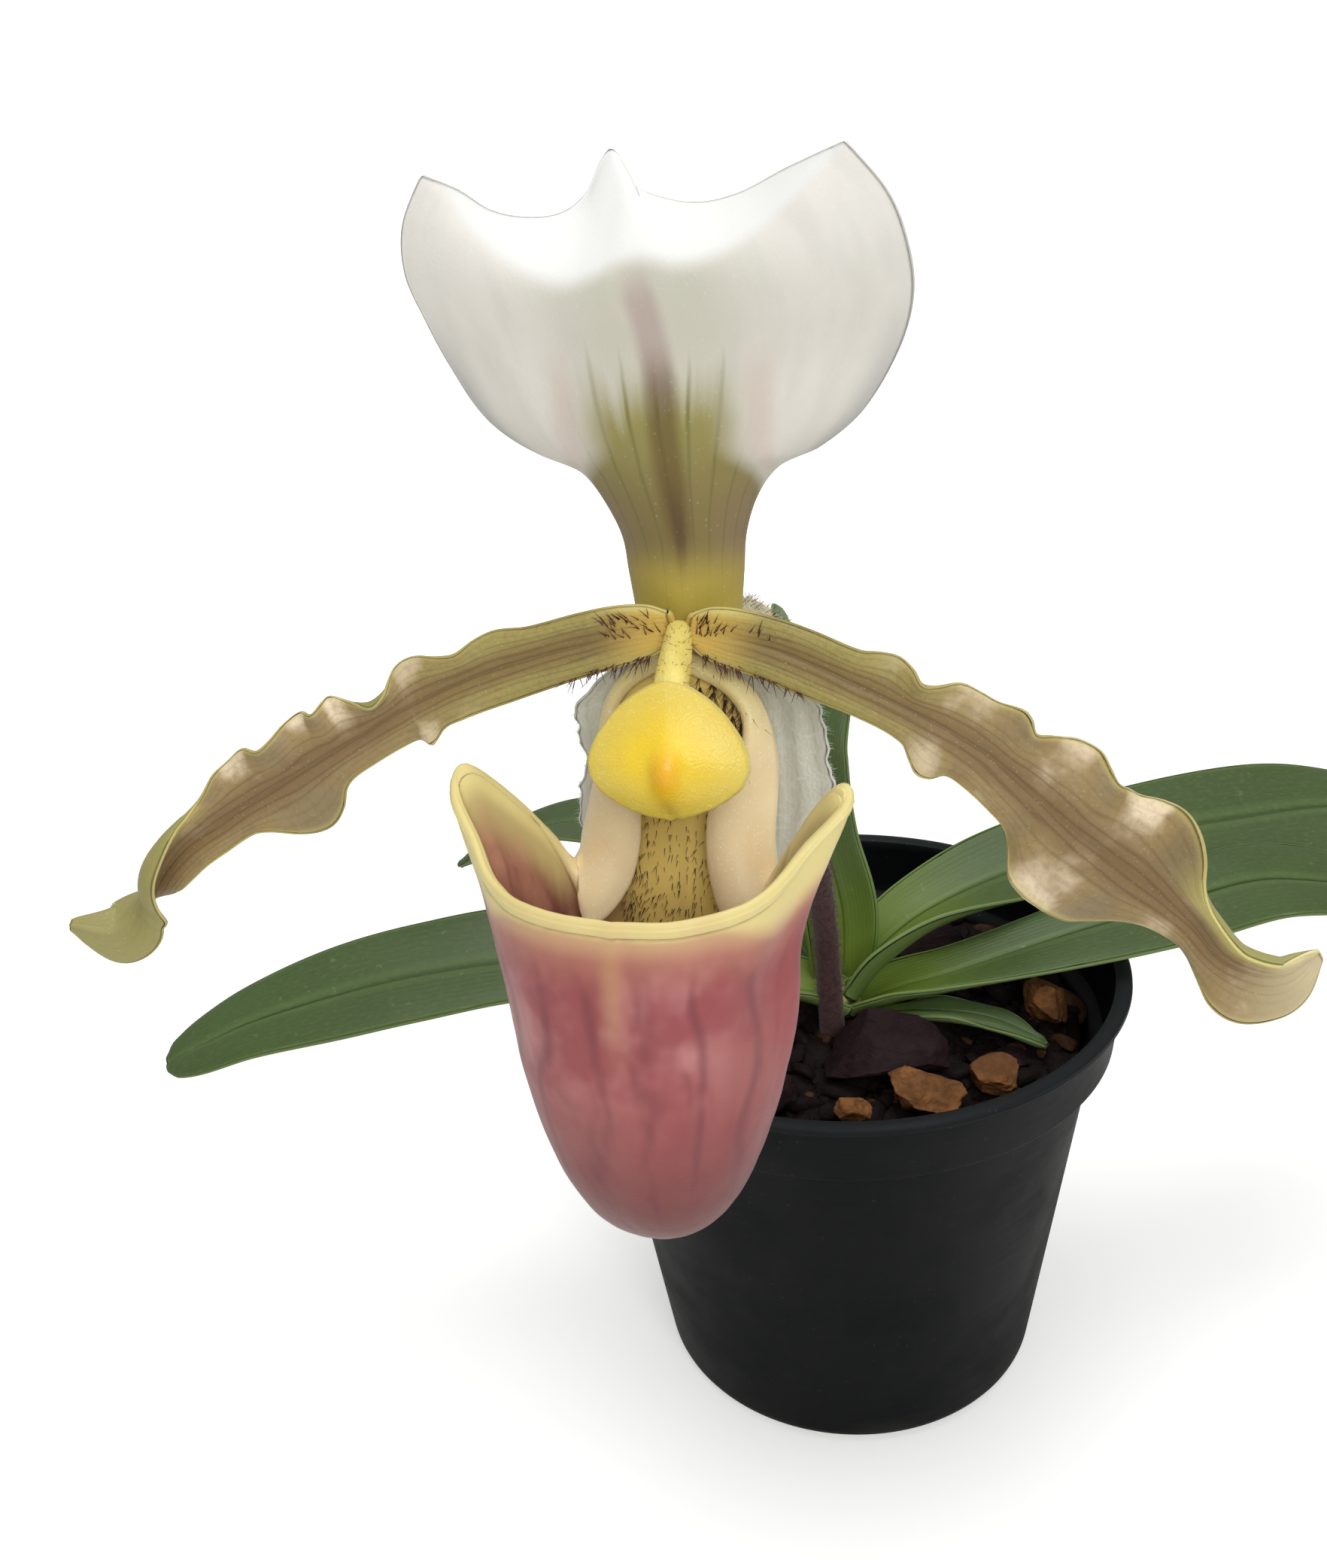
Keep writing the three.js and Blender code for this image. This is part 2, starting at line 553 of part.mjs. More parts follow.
// The rhizome, a short knob on the mix from which the leaves and the flower stem rise
const rhizomeCentre = [0, 0, 49.7];
const rhizomeRadii = [3.2, 3.0, 1.8];
function rhizomeGeometry(extra) {
  const geometry = new THREE.SphereGeometry(1, 12, 8);
  geometry.rotateX(Math.PI / 2);
  geometry.scale(...rhizomeRadii.map((radius) => radius + extra));
  geometry.translate(...rhizomeCentre);
  return geometry;
}
add('rhizome', rhizomeGeometry(0), colours.youngLeaf, 0.7);
add('scape', stem(scapeRows, 8, 22), colours.scape, 0.7);

function levelSide(rows) {
  const [, x, y] = rows[0];
  const [, tipX, tipY] = rows[rows.length - 1];
  return new THREE.Vector3(tipY - y, -(tipX - x), 0).normalize();
}

// Each leaf keeps clear of the rhizome, the flower stem and the leaves that grew before it
const inTheWay = [rhizomeGeometry(clearance), stem(grown(scapeRows, clearance), 8, 22)];
function leaf(name, rows, colour, side = levelSide(rows)) {
  const grid = bladeGrid(rows, side, 6, 14);
  add(name, cutClear(shell(grid, leafThickness), ...inTheWay), colour, 0.45);
  inTheWay.push(shell(bladeGrid(wider(rows, clearance), side, 6, 14), leafThickness + 2 * clearance));
}
leaf('leaf_left_long', leafLeftLong, colours.leaf);
leaf('leaf_left_back', leafLeftBack, colours.leaf);
leaf('leaf_upright', leafUpright, colours.youngLeaf, new THREE.Vector3(1, 0, 0));
leaf('leaf_right_upper', leafRightUpper, colours.leaf);
leaf('leaf_right_lower', leafRightLower, colours.leaf);
leaf('leaf_small', leafSmall, colours.leaf);

// The flower, from the back to the front
const ovaryWorld = movedRows(ovaryRows, flowerPlace);
add('ovary', stem(ovaryWorld, 10, 12), colours.ovary, 0.7);

const bractSide = new THREE.Vector3(0, -0.6, -0.8);
const bract = shell(moved(bladeGrid(bractRows, bractSide, 6, 8), flowerPlace), bractThickness);
add('bract', cutClear(bract, stem(grown(ovaryWorld, clearance), 10, 12)), colours.bract, 0.6);

const sideways = new THREE.Vector3(1, 0, 0);
const upwards = new THREE.Vector3(0, 0, 1);
const synsepal = moved(bladeGrid(synsepalRows, sideways, 6, 12), flowerPlace);
add('synsepal', shell(synsepal, synsepalThickness), colours.synsepal, 0.6);

const ripple = { height: 0.55, widening: 0.1, waves: 7.5 };
const downwards = upwards.clone().negate();
function petal(name, rows, side) {
  const grid = moved(bladeGrid(rows, side, 6, 28, ripple), flowerPlace);
  add(name, shell(grid, petalThickness), colours.petal);
}
petal('petal_left', petalLeft, upwards);
petal('petal_right', petalRight, downwards);

// The dorsal sepal: a narrow claw with its margins rolled back, a broad limb, and a top margin that
// turns back
function dorsalGrid(columns, count) {
  return steps(columns, -1, 1).map((s) => {
    const dip = along(dorsalDip, s)[0];
    return steps(count).map((t) => {
      const [x, y, z, left, right, roll] = along(dorsalRows, t);
      const wide = s < 0 ? left : right;
      const reach = Math.abs(s);
      const across = x + Math.sign(s) * wide * Math.sin(roll * reach) / roll;
      const behind = y + wide * (1 - Math.cos(roll * reach)) / roll;
      const high = z + dip * Math.max((t - 0.62) / 0.38, 0) ** 1.3;
      const above = high - along(dorsalCrest, Math.min(Math.max(across, -12.6), 11.5))[0];
      const turned = above < -6 ? 0 : (above + Math.sqrt(above ** 2 + 1)) / 2;
      const shoulder = Math.min(Math.max((Math.abs(across + 0.6) - 11.2) / 2, 0), 1);
      return new THREE.Vector3(across, behind + dorsalRecurve * turned * (1 - shoulder), high);
    });
  });
}
add('dorsal_sepal', shell(moved(dorsalGrid(18, 16), flowerPlace), dorsalThickness), colours.white);

// The lip: a slipper with two ears. In front its wall ends at the margin; behind, from lapelStart
// round, it ends at the fold, where the side margins turn in
function lipRow(angle, hand) {
  const row = along(lipRim, angle);
  const [fold, margin, bulge] = [0, 3, 6].map((k) => new THREE.Vector3(hand * row[k], row[k + 1], row[k + 2]));
  return { fold, margin, bulge };
}

function slipperGrid(columns, count) {
  const heel = new THREE.Vector3(0, -2, -slipperDepth);
  return Array.from({ length: columns }, (_, i) => {
    const angle = -180 + 360 * i / columns;
    const hand = angle < 0 ? -1 : 1;
    const { fold, margin } = lipRow(Math.abs(angle), hand);
    const inFront = Math.min(Math.max((lapelStart - Math.abs(angle)) / lapelBlend, 0), 1);
    const top = fold.lerp(margin, inFront);
    const turn = Math.abs(angle) * degrees;
    const wide = hand * slipperHalfWidth * Math.sin(turn);
    const deep = -1.3 - (Math.cos(turn) > 0 ? slipperFrontReach : slipperBackReach) * Math.cos(turn);
    const low = new THREE.Vector3(0.86 * wide, heel.y + 0.86 * (deep - heel.y), -slipperDepth);
    const middle = new THREE.Vector3(0.92 * wide, deep, -0.47 * slipperDepth);
    const wall = new THREE.CubicBezierCurve3(heel, low, middle, top);
    return steps(count).map((u) => wall.getPoint(u));
  });
}

function lapelGrid(hand, columns, count) {
  const grid = steps(columns, lapelStart + 4, lapelEnd).map((angle) => {
    const { fold, margin, bulge } = lipRow(angle, hand);
    const crown = fold.clone().add(margin).multiplyScalar(0.5).add(bulge);
    const turned = new THREE.QuadraticBezierCurve3(fold, crown, margin);
    return steps(count).map((w) => turned.getPoint(w));
  });
  return hand > 0 ? grid : grid.reverse();
}
const slipper = shell(moved(slipperGrid(36, 10), lipPlace), lipThickness, { ring: true, pole: true });
const lapels = [1, -1].map((hand) => shell(moved(lapelGrid(hand, 8, 3), lipPlace), lapelThickness));
add('lip', grownTogether(slipper, ...lapels), colours.lip, 0.5);

// The staminode: a domed shield in front of the column
function staminodeGrid(columns, count, extra) {
  const tilt = staminodeTilt * degrees;
  return Array.from({ length: columns }, (_, i) => {
    const angle = -180 + 360 * i / columns;
    const reach = along(staminodeEdge, Math.abs(angle))[0] + extra;
    return steps(count).map((u) => {
      const x = reach * u * Math.sin(angle * degrees);
      const z = reach * u * Math.cos(angle * degrees);
      const y = -staminodeDome * (1 - u ** 2.2);
      const point = new THREE.Vector3(x, y, z);
      return point.applyAxisAngle(new THREE.Vector3(1, 0, 0), tilt).add(staminodeCentre);
    });
  });
}
function shield(extra) {
  const grid = moved(staminodeGrid(20, 4, extra), flowerPlace);
  return shell(grid, staminodeThickness + 2 * extra, { ring: true, pole: true });
}
add('staminode', shield(0), colours.staminode);
const columnWorld = movedRows(columnRows, flowerPlace);
add('column', cutClear(stem(columnWorld, 10, 8), shield(clearance)), colours.column);

// The stigma and the two anthers, on the column behind the shield
function bead(x, y, z, wide, deep, tall) {
  const geometry = new THREE.SphereGeometry(1, 10, 6);
  geometry.scale(wide, deep, tall);
  geometry.translate(x, y, z);
  geometry.applyMatrix4(flowerPlace);
  return geometry;
}
add('stigma', bead(0.6, -3.9, -5.8, 1.5, 0.9, 1.3), colours.stigma);
add('anther_left', bead(-1.3, -3.7, -3.9, 0.75, 0.75, 0.75), colours.anther);
add('anther_right', bead(2.5, -3.7, -3.9, 0.75, 0.75, 0.75), colours.anther);

export default object;
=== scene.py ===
"""The looks of a potted lady's slipper orchid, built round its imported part.

Each piece has its own operator. Shapes are worked out in millimetres, in the part's frame or in the
flower's own frame, and become meshes in metres.
"""
import json
import math

import bpy
import numpy as np
from bpy.props import FloatProperty, FloatVectorProperty, IntProperty, PointerProperty
from mathutils import Matrix, Vector


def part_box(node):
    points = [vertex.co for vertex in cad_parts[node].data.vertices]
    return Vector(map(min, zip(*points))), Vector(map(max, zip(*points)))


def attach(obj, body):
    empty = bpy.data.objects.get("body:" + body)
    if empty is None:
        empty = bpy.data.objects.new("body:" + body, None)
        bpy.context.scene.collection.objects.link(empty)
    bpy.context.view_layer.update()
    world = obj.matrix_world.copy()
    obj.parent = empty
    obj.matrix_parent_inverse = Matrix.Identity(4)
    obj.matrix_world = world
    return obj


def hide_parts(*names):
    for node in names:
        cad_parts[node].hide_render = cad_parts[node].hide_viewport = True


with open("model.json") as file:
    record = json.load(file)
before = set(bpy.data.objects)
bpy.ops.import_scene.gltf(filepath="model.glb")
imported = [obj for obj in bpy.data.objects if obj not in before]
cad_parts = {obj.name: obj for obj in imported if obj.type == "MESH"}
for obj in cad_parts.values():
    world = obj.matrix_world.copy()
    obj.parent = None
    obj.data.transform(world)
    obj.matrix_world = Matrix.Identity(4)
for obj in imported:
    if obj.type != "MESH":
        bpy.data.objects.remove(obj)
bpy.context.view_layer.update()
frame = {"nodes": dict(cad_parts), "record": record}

bl_info = {
    "name": "Potted slipper orchid",
    "version": (1, 0, 0),
    "blender": (4, 5, 0),
    "location": "View3D > Sidebar > Orchid",
    "description": "Builds the flower, leaves, bark and pot of a slipper orchid",
    "category": "Add Mesh",
}

MM = 0.001
BODY = "root"

# Where the flower's parts meet, and how the flower and its lip are turned
FLOWER_CENTRE = (-19.0, -69.5, 124.0)
FLOWER_YAW = -13.0
FLOWER_TILT = -6.0
LIP_YAW = -5.5
LIP_OFFSET = (-0.5, -5.5, -16.2)

# The camera: place, how far it looks down, its roll, and its lens for a picture 2084 pixels high
CAMERA_PLACE = (-20.54, -162.41, 153.86)
CAMERA_DOWN = 24.06
CAMERA_ROLL = -4.15
FOCAL_PIXELS = 2000.0
PICTURE_HEIGHT = 2084.0
SENSOR = 36.0

# The pot, from the axis outwards
POT_HEIGHT = 56.0
POT_RIM = 35.0
POT_BASE = 24.6
POT_SHOULDER = 31.0
POT_SHOULDER_HEIGHT = 47.0
POT_CORNER = 2.5
POT_WALL = 1.2
DRAIN_RADIUS = 3.0
DRAIN_CIRCLE = 15.0
DRAIN_COUNT = 6
POT_SIDES = 144
# Steps of the pot's outline, outwards and up, from its shoulder or from its rim
POT_COLLAR_OUTSIDE = [(-0.1, -0.8), (0.15, -0.2), (0.9, 0.35), (1.9, 0.7), (2.25, 1.2)]
POT_ROLLED_RIM = [
    (-1.2, -2.0), (-0.9, -1.4), (-0.25, -1.05), (0, -0.7), (-0.05, -0.25), (-0.4, 0), (-1.5, 0),
    (-1.95, -0.3),
]
POT_COLLAR_INSIDE = [(1.3, 2.2), (0.9, 1.4), (-0.6, 0.9), (-POT_WALL, 0)]

# What the pot holds: the mix and its gap to the wall, crumbs, chips and how deep they lie, rhizome
MIX_TOP = 47.5
MIX_GAP = 0.6
CRUMB_STRETCH = (1.3, 0.9, 0.55)
TAN_CRUMB_SHARE = 0.12
CHIP_STRETCH = (1.06, 1.06, 1.15)
CHIP_SINK = 0.3
RHIZOME_PLACE = (0, 0, 49.7)
RHIZOME_RADII = (3.3, 3.1, 1.9)

# Leaf rows: place along the leaf, midrib x y z, half widths on both sides, roll in degrees, cupping
LEAVES = {
    "leaf_left_long": [
        (0.00, -0.9, -2.2, 49.7, 4.6, 4.2, 0, 1.5),
        (0.05, -4.4, -2.2, 52.2, 4.9, 4.4, 4, 1.3),
        (0.12, -11.5, -0.8, 54.2, 5.0, 4.6, 12, 0.9),
        (0.27, -24.0, -1.2, 57.6, 6.8, 5.6, 20, 0.6),
        (0.45, -40.0, -1.8, 59.4, 7.8, 6.4, 22, 0.35),
        (0.60, -52.5, -2.2, 58.7, 8.0, 7.0, 22, 0.2),
        (0.72, -62.0, -2.7, 57.2, 7.4, 6.8, 22, 0.15),
        (0.85, -73.0, -3.3, 54.5, 5.6, 5.2, 22, 0.1),
        (0.94, -80.0, -3.7, 51.8, 4.3, 4.0, 22, 0.1),
        (0.98, -83.2, -3.9, 50.5, 2.9, 2.7, 22, 0.1),
        (1.00, -84.4, -4.0, 50.0, 1.3, 1.2, 22, 0.1),
    ],
    "leaf_left_back": [
        (0.00, -2.0, 2.9, 50.4, 1.9, 1.9, 0, 1.3),
        (0.20, -8.2, 10.6, 60.6, 4.4, 4.4, 0, 0.8),
        (0.45, -20.0, 15.8, 65.6, 6.8, 6.8, 0, 0.4),
        (0.70, -32.0, 19.4, 67.6, 6.8, 6.8, 0, 0.3),
        (0.90, -43.0, 21.0, 65.0, 4.2, 4.2, 0, 0.3),
        (1.00, -49.0, 21.5, 62.0, 0.7, 0.7, 0, 0.3),
    ],
    "leaf_upright": [
        (0.00, 0.6, 2.2, 51.2, 4.4, 5.6, 0, 1.3),
        (0.22, 0.9, 4.2, 60.0, 4.8, 6.2, 0, 1.1),
        (0.50, -0.9, 7.0, 70.0, 4.6, 5.2, 0, 1.0),
        (0.75, -1.4, 10.0, 79.5, 4.0, 4.0, 0, 0.8),
        (0.92, 1.6, 12.6, 86.5, 2.2, 2.2, 0, 0.7),
        (1.00, 3.0, 13.8, 89.5, 0.6, 0.6, 0, 0.7),
    ],
    "leaf_right_upper": [
        (0.00, 1.0, 0.6, 50.2, 6.4, 5.0, 0, 1.5),
        (0.05, 4.6, 2.4, 54.4, 8.6, 5.2, 0, 1.4),
        (0.12, 11.5, 5.0, 58.4, 8.8, 5.8, -2, 1.1),
        (0.27, 24.0, 8.8, 61.4, 7.6, 7.0, -12, 0.55),
        (0.45, 41.0, 13.4, 62.7, 7.8, 8.2, -20, 0.3),
        (0.62, 56.0, 17.2, 62.4, 8.6, 8.6, -22, 0.2),
        (0.77, 69.0, 20.2, 61.6, 8.2, 7.4, -22, 0.15),
        (0.91, 82.0, 23.6, 58.4, 5.4, 4.8, -22, 0.1),
        (1.00, 90.5, 26.3, 53.4, 0.9, 0.9, -22, 0.1),
    ],
    "leaf_right_lower": [
        (0.00, 1.6, -1.8, 49.6, 3.8, 3.6, 0, 1.5),
        (0.07, 6.4, -2.8, 52.2, 4.6, 4.0, -2, 1.2),
        (0.15, 12.5, -3.8, 54.4, 5.2, 4.2, -4, 0.8),
        (0.33, 26.5, -3.4, 58.3, 6.8, 4.8, -8, 0.35),
        (0.52, 40.0, -0.8, 60.0, 7.4, 5.4, -12, 0.2),
        (0.70, 53.0, 3.0, 60.6, 6.6, 6.2, -18, 0.2),
        (0.87, 65.5, 5.6, 57.8, 4.6, 5.2, -20, 0.15),
        (1.00, 75.5, 9.0, 55.4, 0.8, 0.8, -20, 0.1),
    ],
    "leaf_small": [
        (0.00, 3.0, -3.6, 49.2, 1.3, 1.3, 0, 1.2),
        (0.35, 10.0, -7.6, 51.6, 2.3, 2.3, 0, 0.8),
        (0.70, 16.8, -9.8, 51.4, 2.3, 2.3, 0, 0.5),
        (1.00, 22.5, -13.2, 49.6, 0.5, 0.5, 0, 0.4),
    ],
}

# Stem rows: place along the stem, centre x y z, radius
SCAPE = [
    (0.00, -1.8, -4.6, 48.2, 1.6),
    (0.20, -2.6, -6.6, 64.0, 1.5),
    (0.40, -4.4, -13.0, 79.0, 1.4),
    (0.60, -6.8, -23.5, 92.5, 1.35),
    (0.80, -9.8, -36.5, 104.5, 1.35),
    (1.00, -12.05, -47.3, 112.2, 1.5),
]
OVARY = [
    (0.00, 1.80, 24.0, -9.2, 1.5),
    (0.15, 2.50, 20.6, -7.6, 2.0),
    (0.45, 3.10, 13.4, -4.5, 2.3),
    (0.75, 2.40, 6.6, -2.0, 2.1),
    (0.92, 1.20, 2.7, -0.7, 1.7),
    (1.00, 0.60, 0.6, 0.0, 1.2),
]
COLUMN = [
    (0.00, 0.5, -1.0, -0.3, 0.5),
    (0.15, 0.5, -1.6, -0.55, 0.78),
    (0.45, 0.55, -2.9, -1.4, 0.98),
    (0.75, 0.6, -4.3, -2.6, 1.08),
    (1.00, 0.6, -5.2, -3.9, 1.15),
]

# Flower rows, in the flower's frame: x to the right, y backwards, z up
PETAL_LEFT = [
    (0.00, -0.1, -1.1, -0.3, 1.6, 1.7, 0, 0.3),
    (0.08, -4.6, -1.2, -1.1, 2.1, 2.0, 0, 0.3),
    (0.24, -12.2, -1.8, -3.1, 2.3, 2.2, 0, 0.25),
    (0.35, -17.4, -2.2, -5.2, 2.5, 2.4, 0, 0.2),
    (0.47, -22.7, -2.8, -8.1, 2.7, 2.7, 0, 0.2),
    (0.57, -27.1, -3.2, -10.6, 3.0, 3.0, 0, 0.2),
    (0.68, -31.6, -3.6, -13.2, 3.0, 2.9, 5, 0.3),
    (0.76, -34.6, -4.0, -15.2, 2.9, 2.6, 0, 0.3),
    (0.82, -36.8, -4.4, -17.4, 2.7, 2.5, 18, 0.3),
    (0.88, -38.3, -4.8, -19.4, 2.6, 2.6, 95, 0.2),
    (0.94, -40.2, -5.6, -21.4, 2.2, 2.2, 150, 0.4),
    (1.00, -43.5, -6.0, -20.8, 0.4, 0.4, 160, 0.5),
]
PETAL_RIGHT = [
    (0.00, 1.2, -1.1, -0.4, 1.6, 1.6, 0, 0.3),
    (0.11, 6.7, -1.1, -1.8, 2.0, 2.1, 0, 0.3),
    (0.22, 11.3, -1.1, -3.8, 2.2, 2.3, 0, 0.25),
    (0.31, 15.3, -0.9, -5.8, 2.4, 2.4, 0, 0.2),
    (0.41, 19.3, -0.6, -8.2, 2.8, 2.7, 0, 0.1),
    (0.50, 22.4, -0.4, -10.9, 3.4, 3.2, 0, 0.0),
    (0.60, 25.8, -0.3, -14.0, 4.0, 4.0, 0, -0.1),
    (0.69, 29.3, -0.2, -16.7, 3.6, 4.0, -5, -0.2),
    (0.78, 32.7, -0.2, -19.7, 2.3, 2.9, -5, -0.2),
    (0.86, 35.0, -0.2, -22.4, 2.2, 2.4, 2, 0.0),
    (0.93, 38.1, 0.0, -23.4, 2.2, 2.0, 8, 0.1),
    (1.00, 40.8, 0.3, -21.9, 0.4, 0.4, 8, 0.1),
]
# A petal's wavy margins: place along it, distance from the midline, lift towards the viewer
MARGIN_LEFT = {
    "upper": [
        (0.00, 1.0, 0), (0.02, 1.6, 0), (0.05, 1.9, 0), (0.10, 2.0, 0), (0.17, 2.0, 0),
        (0.215, 2.35, -0.2),
        (0.245, 2.2, 0), (0.272, 1.85, 0.4), (0.295, 2.1, 0.2), (0.33, 2.7, -0.7),
        (0.355, 2.6, -0.4), (0.378, 1.5, 0.8),
        (0.40, 1.25, 1.2), (0.425, 2.2, 0.2), (0.455, 3.2, -0.8), (0.478, 2.85, 0.5),
        (0.50, 3.3, -0.8), (0.525, 3.25, -0.5), (0.548, 2.85, 0.5), (0.572, 2.7, 0.6),
        (0.60, 3.3, -0.6), (0.63, 3.1, -0.9), (0.655, 2.9, -0.2), (0.68, 2.3, 0.3),
        (0.705, 2.1, 0.2), (0.73, 3.2, 0), (0.76, 4.6, 0), (0.80, 5.5, 0), (0.84, 4.8, 0), (0.88, 3.0, 0),
        (0.94, 2.3, 0), (1.00, 0.4, 0),
    ],
    "lower": [
        (0.00, 0.9, 0), (0.02, 1.5, 0), (0.05, 1.85, 0), (0.10, 2.0, 0), (0.22, 2.3, 0),
        (0.30, 2.25, 0.2),
        (0.33, 2.3, 0), (0.352, 2.85, 0.7), (0.372, 2.3, -0.3), (0.40, 2.1, 0), (0.45, 2.1, 0),
        (0.48, 2.2, 0), (0.50, 2.6, -0.2), (0.522, 3.6, -0.7), (0.55, 4.3, -0.9),
        (0.575, 4.2, -0.7), (0.60, 3.5, -0.2), (0.63, 2.4, 0.2), (0.66, 1.95, 0), (0.72, 1.95, 0),
        (0.78, 1.85, 0), (0.83, 1.7, 0), (0.87, 2.1, 0), (0.90, 2.5, 0), (0.95, 2.0, 0), (1.00, 0.4, 0),
    ],
}
MARGIN_RIGHT = {
    "upper": [
        (0.00, 1.0, 0), (0.02, 1.6, 0), (0.05, 1.9, 0), (0.10, 1.95, 0), (0.15, 1.98, 0), (0.215, 2.1, 0.2),
        (0.24, 2.4, -0.3), (0.262, 2.6, -0.4), (0.282, 2.4, 0.2), (0.30, 1.9, 0.9),
        (0.32, 2.2, 0.4), (0.345, 2.8, -0.5), (0.375, 2.85, -0.8), (0.40, 2.95, -0.5),
        (0.424, 3.55, 0.3), (0.436, 3.45, 0.6), (0.452, 2.95, 0.7), (0.475, 3.4, -0.2),
        (0.51, 4.25, -0.8), (0.54, 4.6, -0.6), (0.562, 4.35, 0.3), (0.585, 4.0, 0.5),
        (0.61, 4.0, -0.4), (0.635, 4.0, -1.1), (0.66, 4.6, -0.9), (0.68, 5.1, 0), (0.70, 5.0, 0.7),
        (0.72, 4.5, 0.6), (0.745, 3.5, 0.2), (0.775, 3.1, 0), (0.80, 3.3, 0), (0.84, 3.8, 0),
        (0.88, 4.0, 0), (0.92, 3.5, 0), (0.96, 2.1, 0), (0.985, 1.0, 0), (1.00, 0.4, 0),
    ],
    "lower": [
        (0.00, 0.9, 0), (0.02, 1.5, 0), (0.05, 1.85, 0), (0.10, 2.0, 0), (0.15, 2.1, 0), (0.25, 1.87, 0),
        (0.315, 2.1, 0), (0.335, 2.8, 0.4), (0.352, 3.3, 0.6), (0.375, 3.25, 0.2),
        (0.395, 2.7, -0.3), (0.43, 2.55, 0), (0.50, 2.75, 0), (0.53, 3.2, -0.3), (0.55, 4.0, -0.1),
        (0.57, 5.0, 0.6), (0.595, 5.3, 1.0), (0.62, 5.45, 0.6), (0.65, 5.8, -0.4),
        (0.68, 5.7, -0.8), (0.70, 4.7, -0.5), (0.725, 3.1, 0), (0.75, 2.2, 0.2), (0.79, 1.7, 0),
        (0.825, 1.5, -0.2), (0.85, 1.9, -0.1), (0.875, 2.9, 0.3), (0.90, 3.3, 0.2),
        (0.93, 2.9, -0.2), (0.96, 1.9, 0), (1.00, 0.4, 0),
    ],
}
# How far the upper margins roll over towards the viewer: place, bend in radians
CURL_LEFT = [
    (0.00, 0), (0.69, 0), (0.72, 1.4), (0.76, 2.4), (0.82, 2.6), (0.86, 1.8), (0.90, 0.6), (1.00, 0.2),
]
CURL_RIGHT = [
    (0.00, 0), (0.67, 0), (0.72, 0.8), (0.76, 1.6), (0.80, 2.0), (0.92, 2.0), (0.97, 1.6), (1.00, 1.0),
]
PETAL_COLUMNS = 61
PETAL_ROWS = 360
# Hair patches of a petal, 1 for left and -1 for right: count, from and to across, from and to along
FACE_TUFTS = {
    1: [(34, -0.25, 0.6, 0.010, 0.085)],
    -1: [(27, -0.25, 0.6, 0.004, 0.050), (5, 0.1, 0.6, 0.060, 0.100)],
}
FRINGE_TUFTS = {
    1: [(46, -1.0, -0.8, 0.025, 0.110), (7, -1.0, -0.92, 0.120, 0.145)],
    -1: [(34, -1.0, -0.8, 0.020, 0.070), (14, -1.0, -0.9, 0.085, 0.120), (8, -1.0, -0.94, 0.140, 0.170)],
}
SYNSEPAL = [
    (0.00, 0.6, 1.8, -1.9, 3.6, 3.6, 0, -0.2),
    (0.15, 0.6, 3.5, -5.8, 8.0, 8.0, 0, -0.2),
    (0.28, 0.6, 4.3, -8.6, 8.7, 8.5, 0, -0.2),
    (0.40, 0.5, 4.7, -11.3, 9.1, 8.2, 0, -0.2),
    (0.48, 0.5, 5.0, -13.2, 9.3, 8.8, 0, -0.2),
    (0.60, 0.4, 5.2, -16.1, 9.0, 8.8, 0, -0.2),
    (0.75, 0.3, 5.2, -19.5, 7.6, 7.6, 0, -0.2),
    (0.90, 0.2, 4.8, -23.5, 4.8, 4.8, 0, -0.2),
    (1.00, 0.2, 4.4, -26.5, 0.6, 0.6, 0, -0.2),
]
BRACT = [
    (0.00, 3.5, 25.6, -9.9, 1.8, 1.8, 0, 1.5),
    (0.10, 3.9, 24.0, -9.1, 2.9, 2.9, 0, 1.4),
    (0.40, 4.8, 19.8, -6.9, 3.4, 3.4, 0, 1.3),
    (0.72, 5.2, 15.4, -4.2, 1.9, 1.9, 0, 0.9),
    (1.00, 4.7, 11.8, -1.7, 0.15, 0.15, 0, 0.6),
]

# Dorsal sepal rows: place, midline x y z, half width left and right, how far the margins roll back
DORSAL = [
    (0.00, 0.5, 0.5, -1.2, 6.0, 5.2, 1.75),
    (0.09, 0.5, 0.1, 2.5, 6.9, 5.8, 1.75),
    (0.18, 0.5, -0.1, 5.0, 7.6, 6.2, 1.75),
    (0.26, 0.3, -0.4, 7.3, 9.2, 7.6, 1.70),
    (0.33, 0.1, -0.8, 9.2, 10.6, 9.4, 1.50),
    (0.38, 0.0, -1.2, 10.4, 11.2, 10.6, 0.95),
    (0.46, -0.1, -1.9, 12.7, 12.4, 12.6, 0.55),
    (0.59, 0.0, -3.0, 16.4, 13.8, 14.5, 0.35),
    (0.70, 0.0, -4.1, 19.4, 14.4, 15.2, 0.25),
    (0.80, -0.5, -4.8, 22.2, 14.4, 15.4, 0.20),
    (0.90, -1.8, -4.6, 25.2, 13.0, 15.6, 0.20),
    (1.00, -3.4, -3.8, 28.3, 10.2, 14.8, 0.20),
]
# How far its top margin dips below its pointed middle, from the left shoulder to the right one
DORSAL_DIP = [
    (-1.0, -1.2), (-0.83, -2.0), (-0.64, -3.3), (-0.44, -3.8), (-0.24, -3.6), (-0.11, -2.5),
    (-0.06, -0.9), (0.0, 0.0), (0.05, -0.6), (0.11, -2.0), (0.23, -3.0), (0.40, -3.5),
    (0.57, -3.1), (0.75, -2.0), (1.0, -0.8),
]
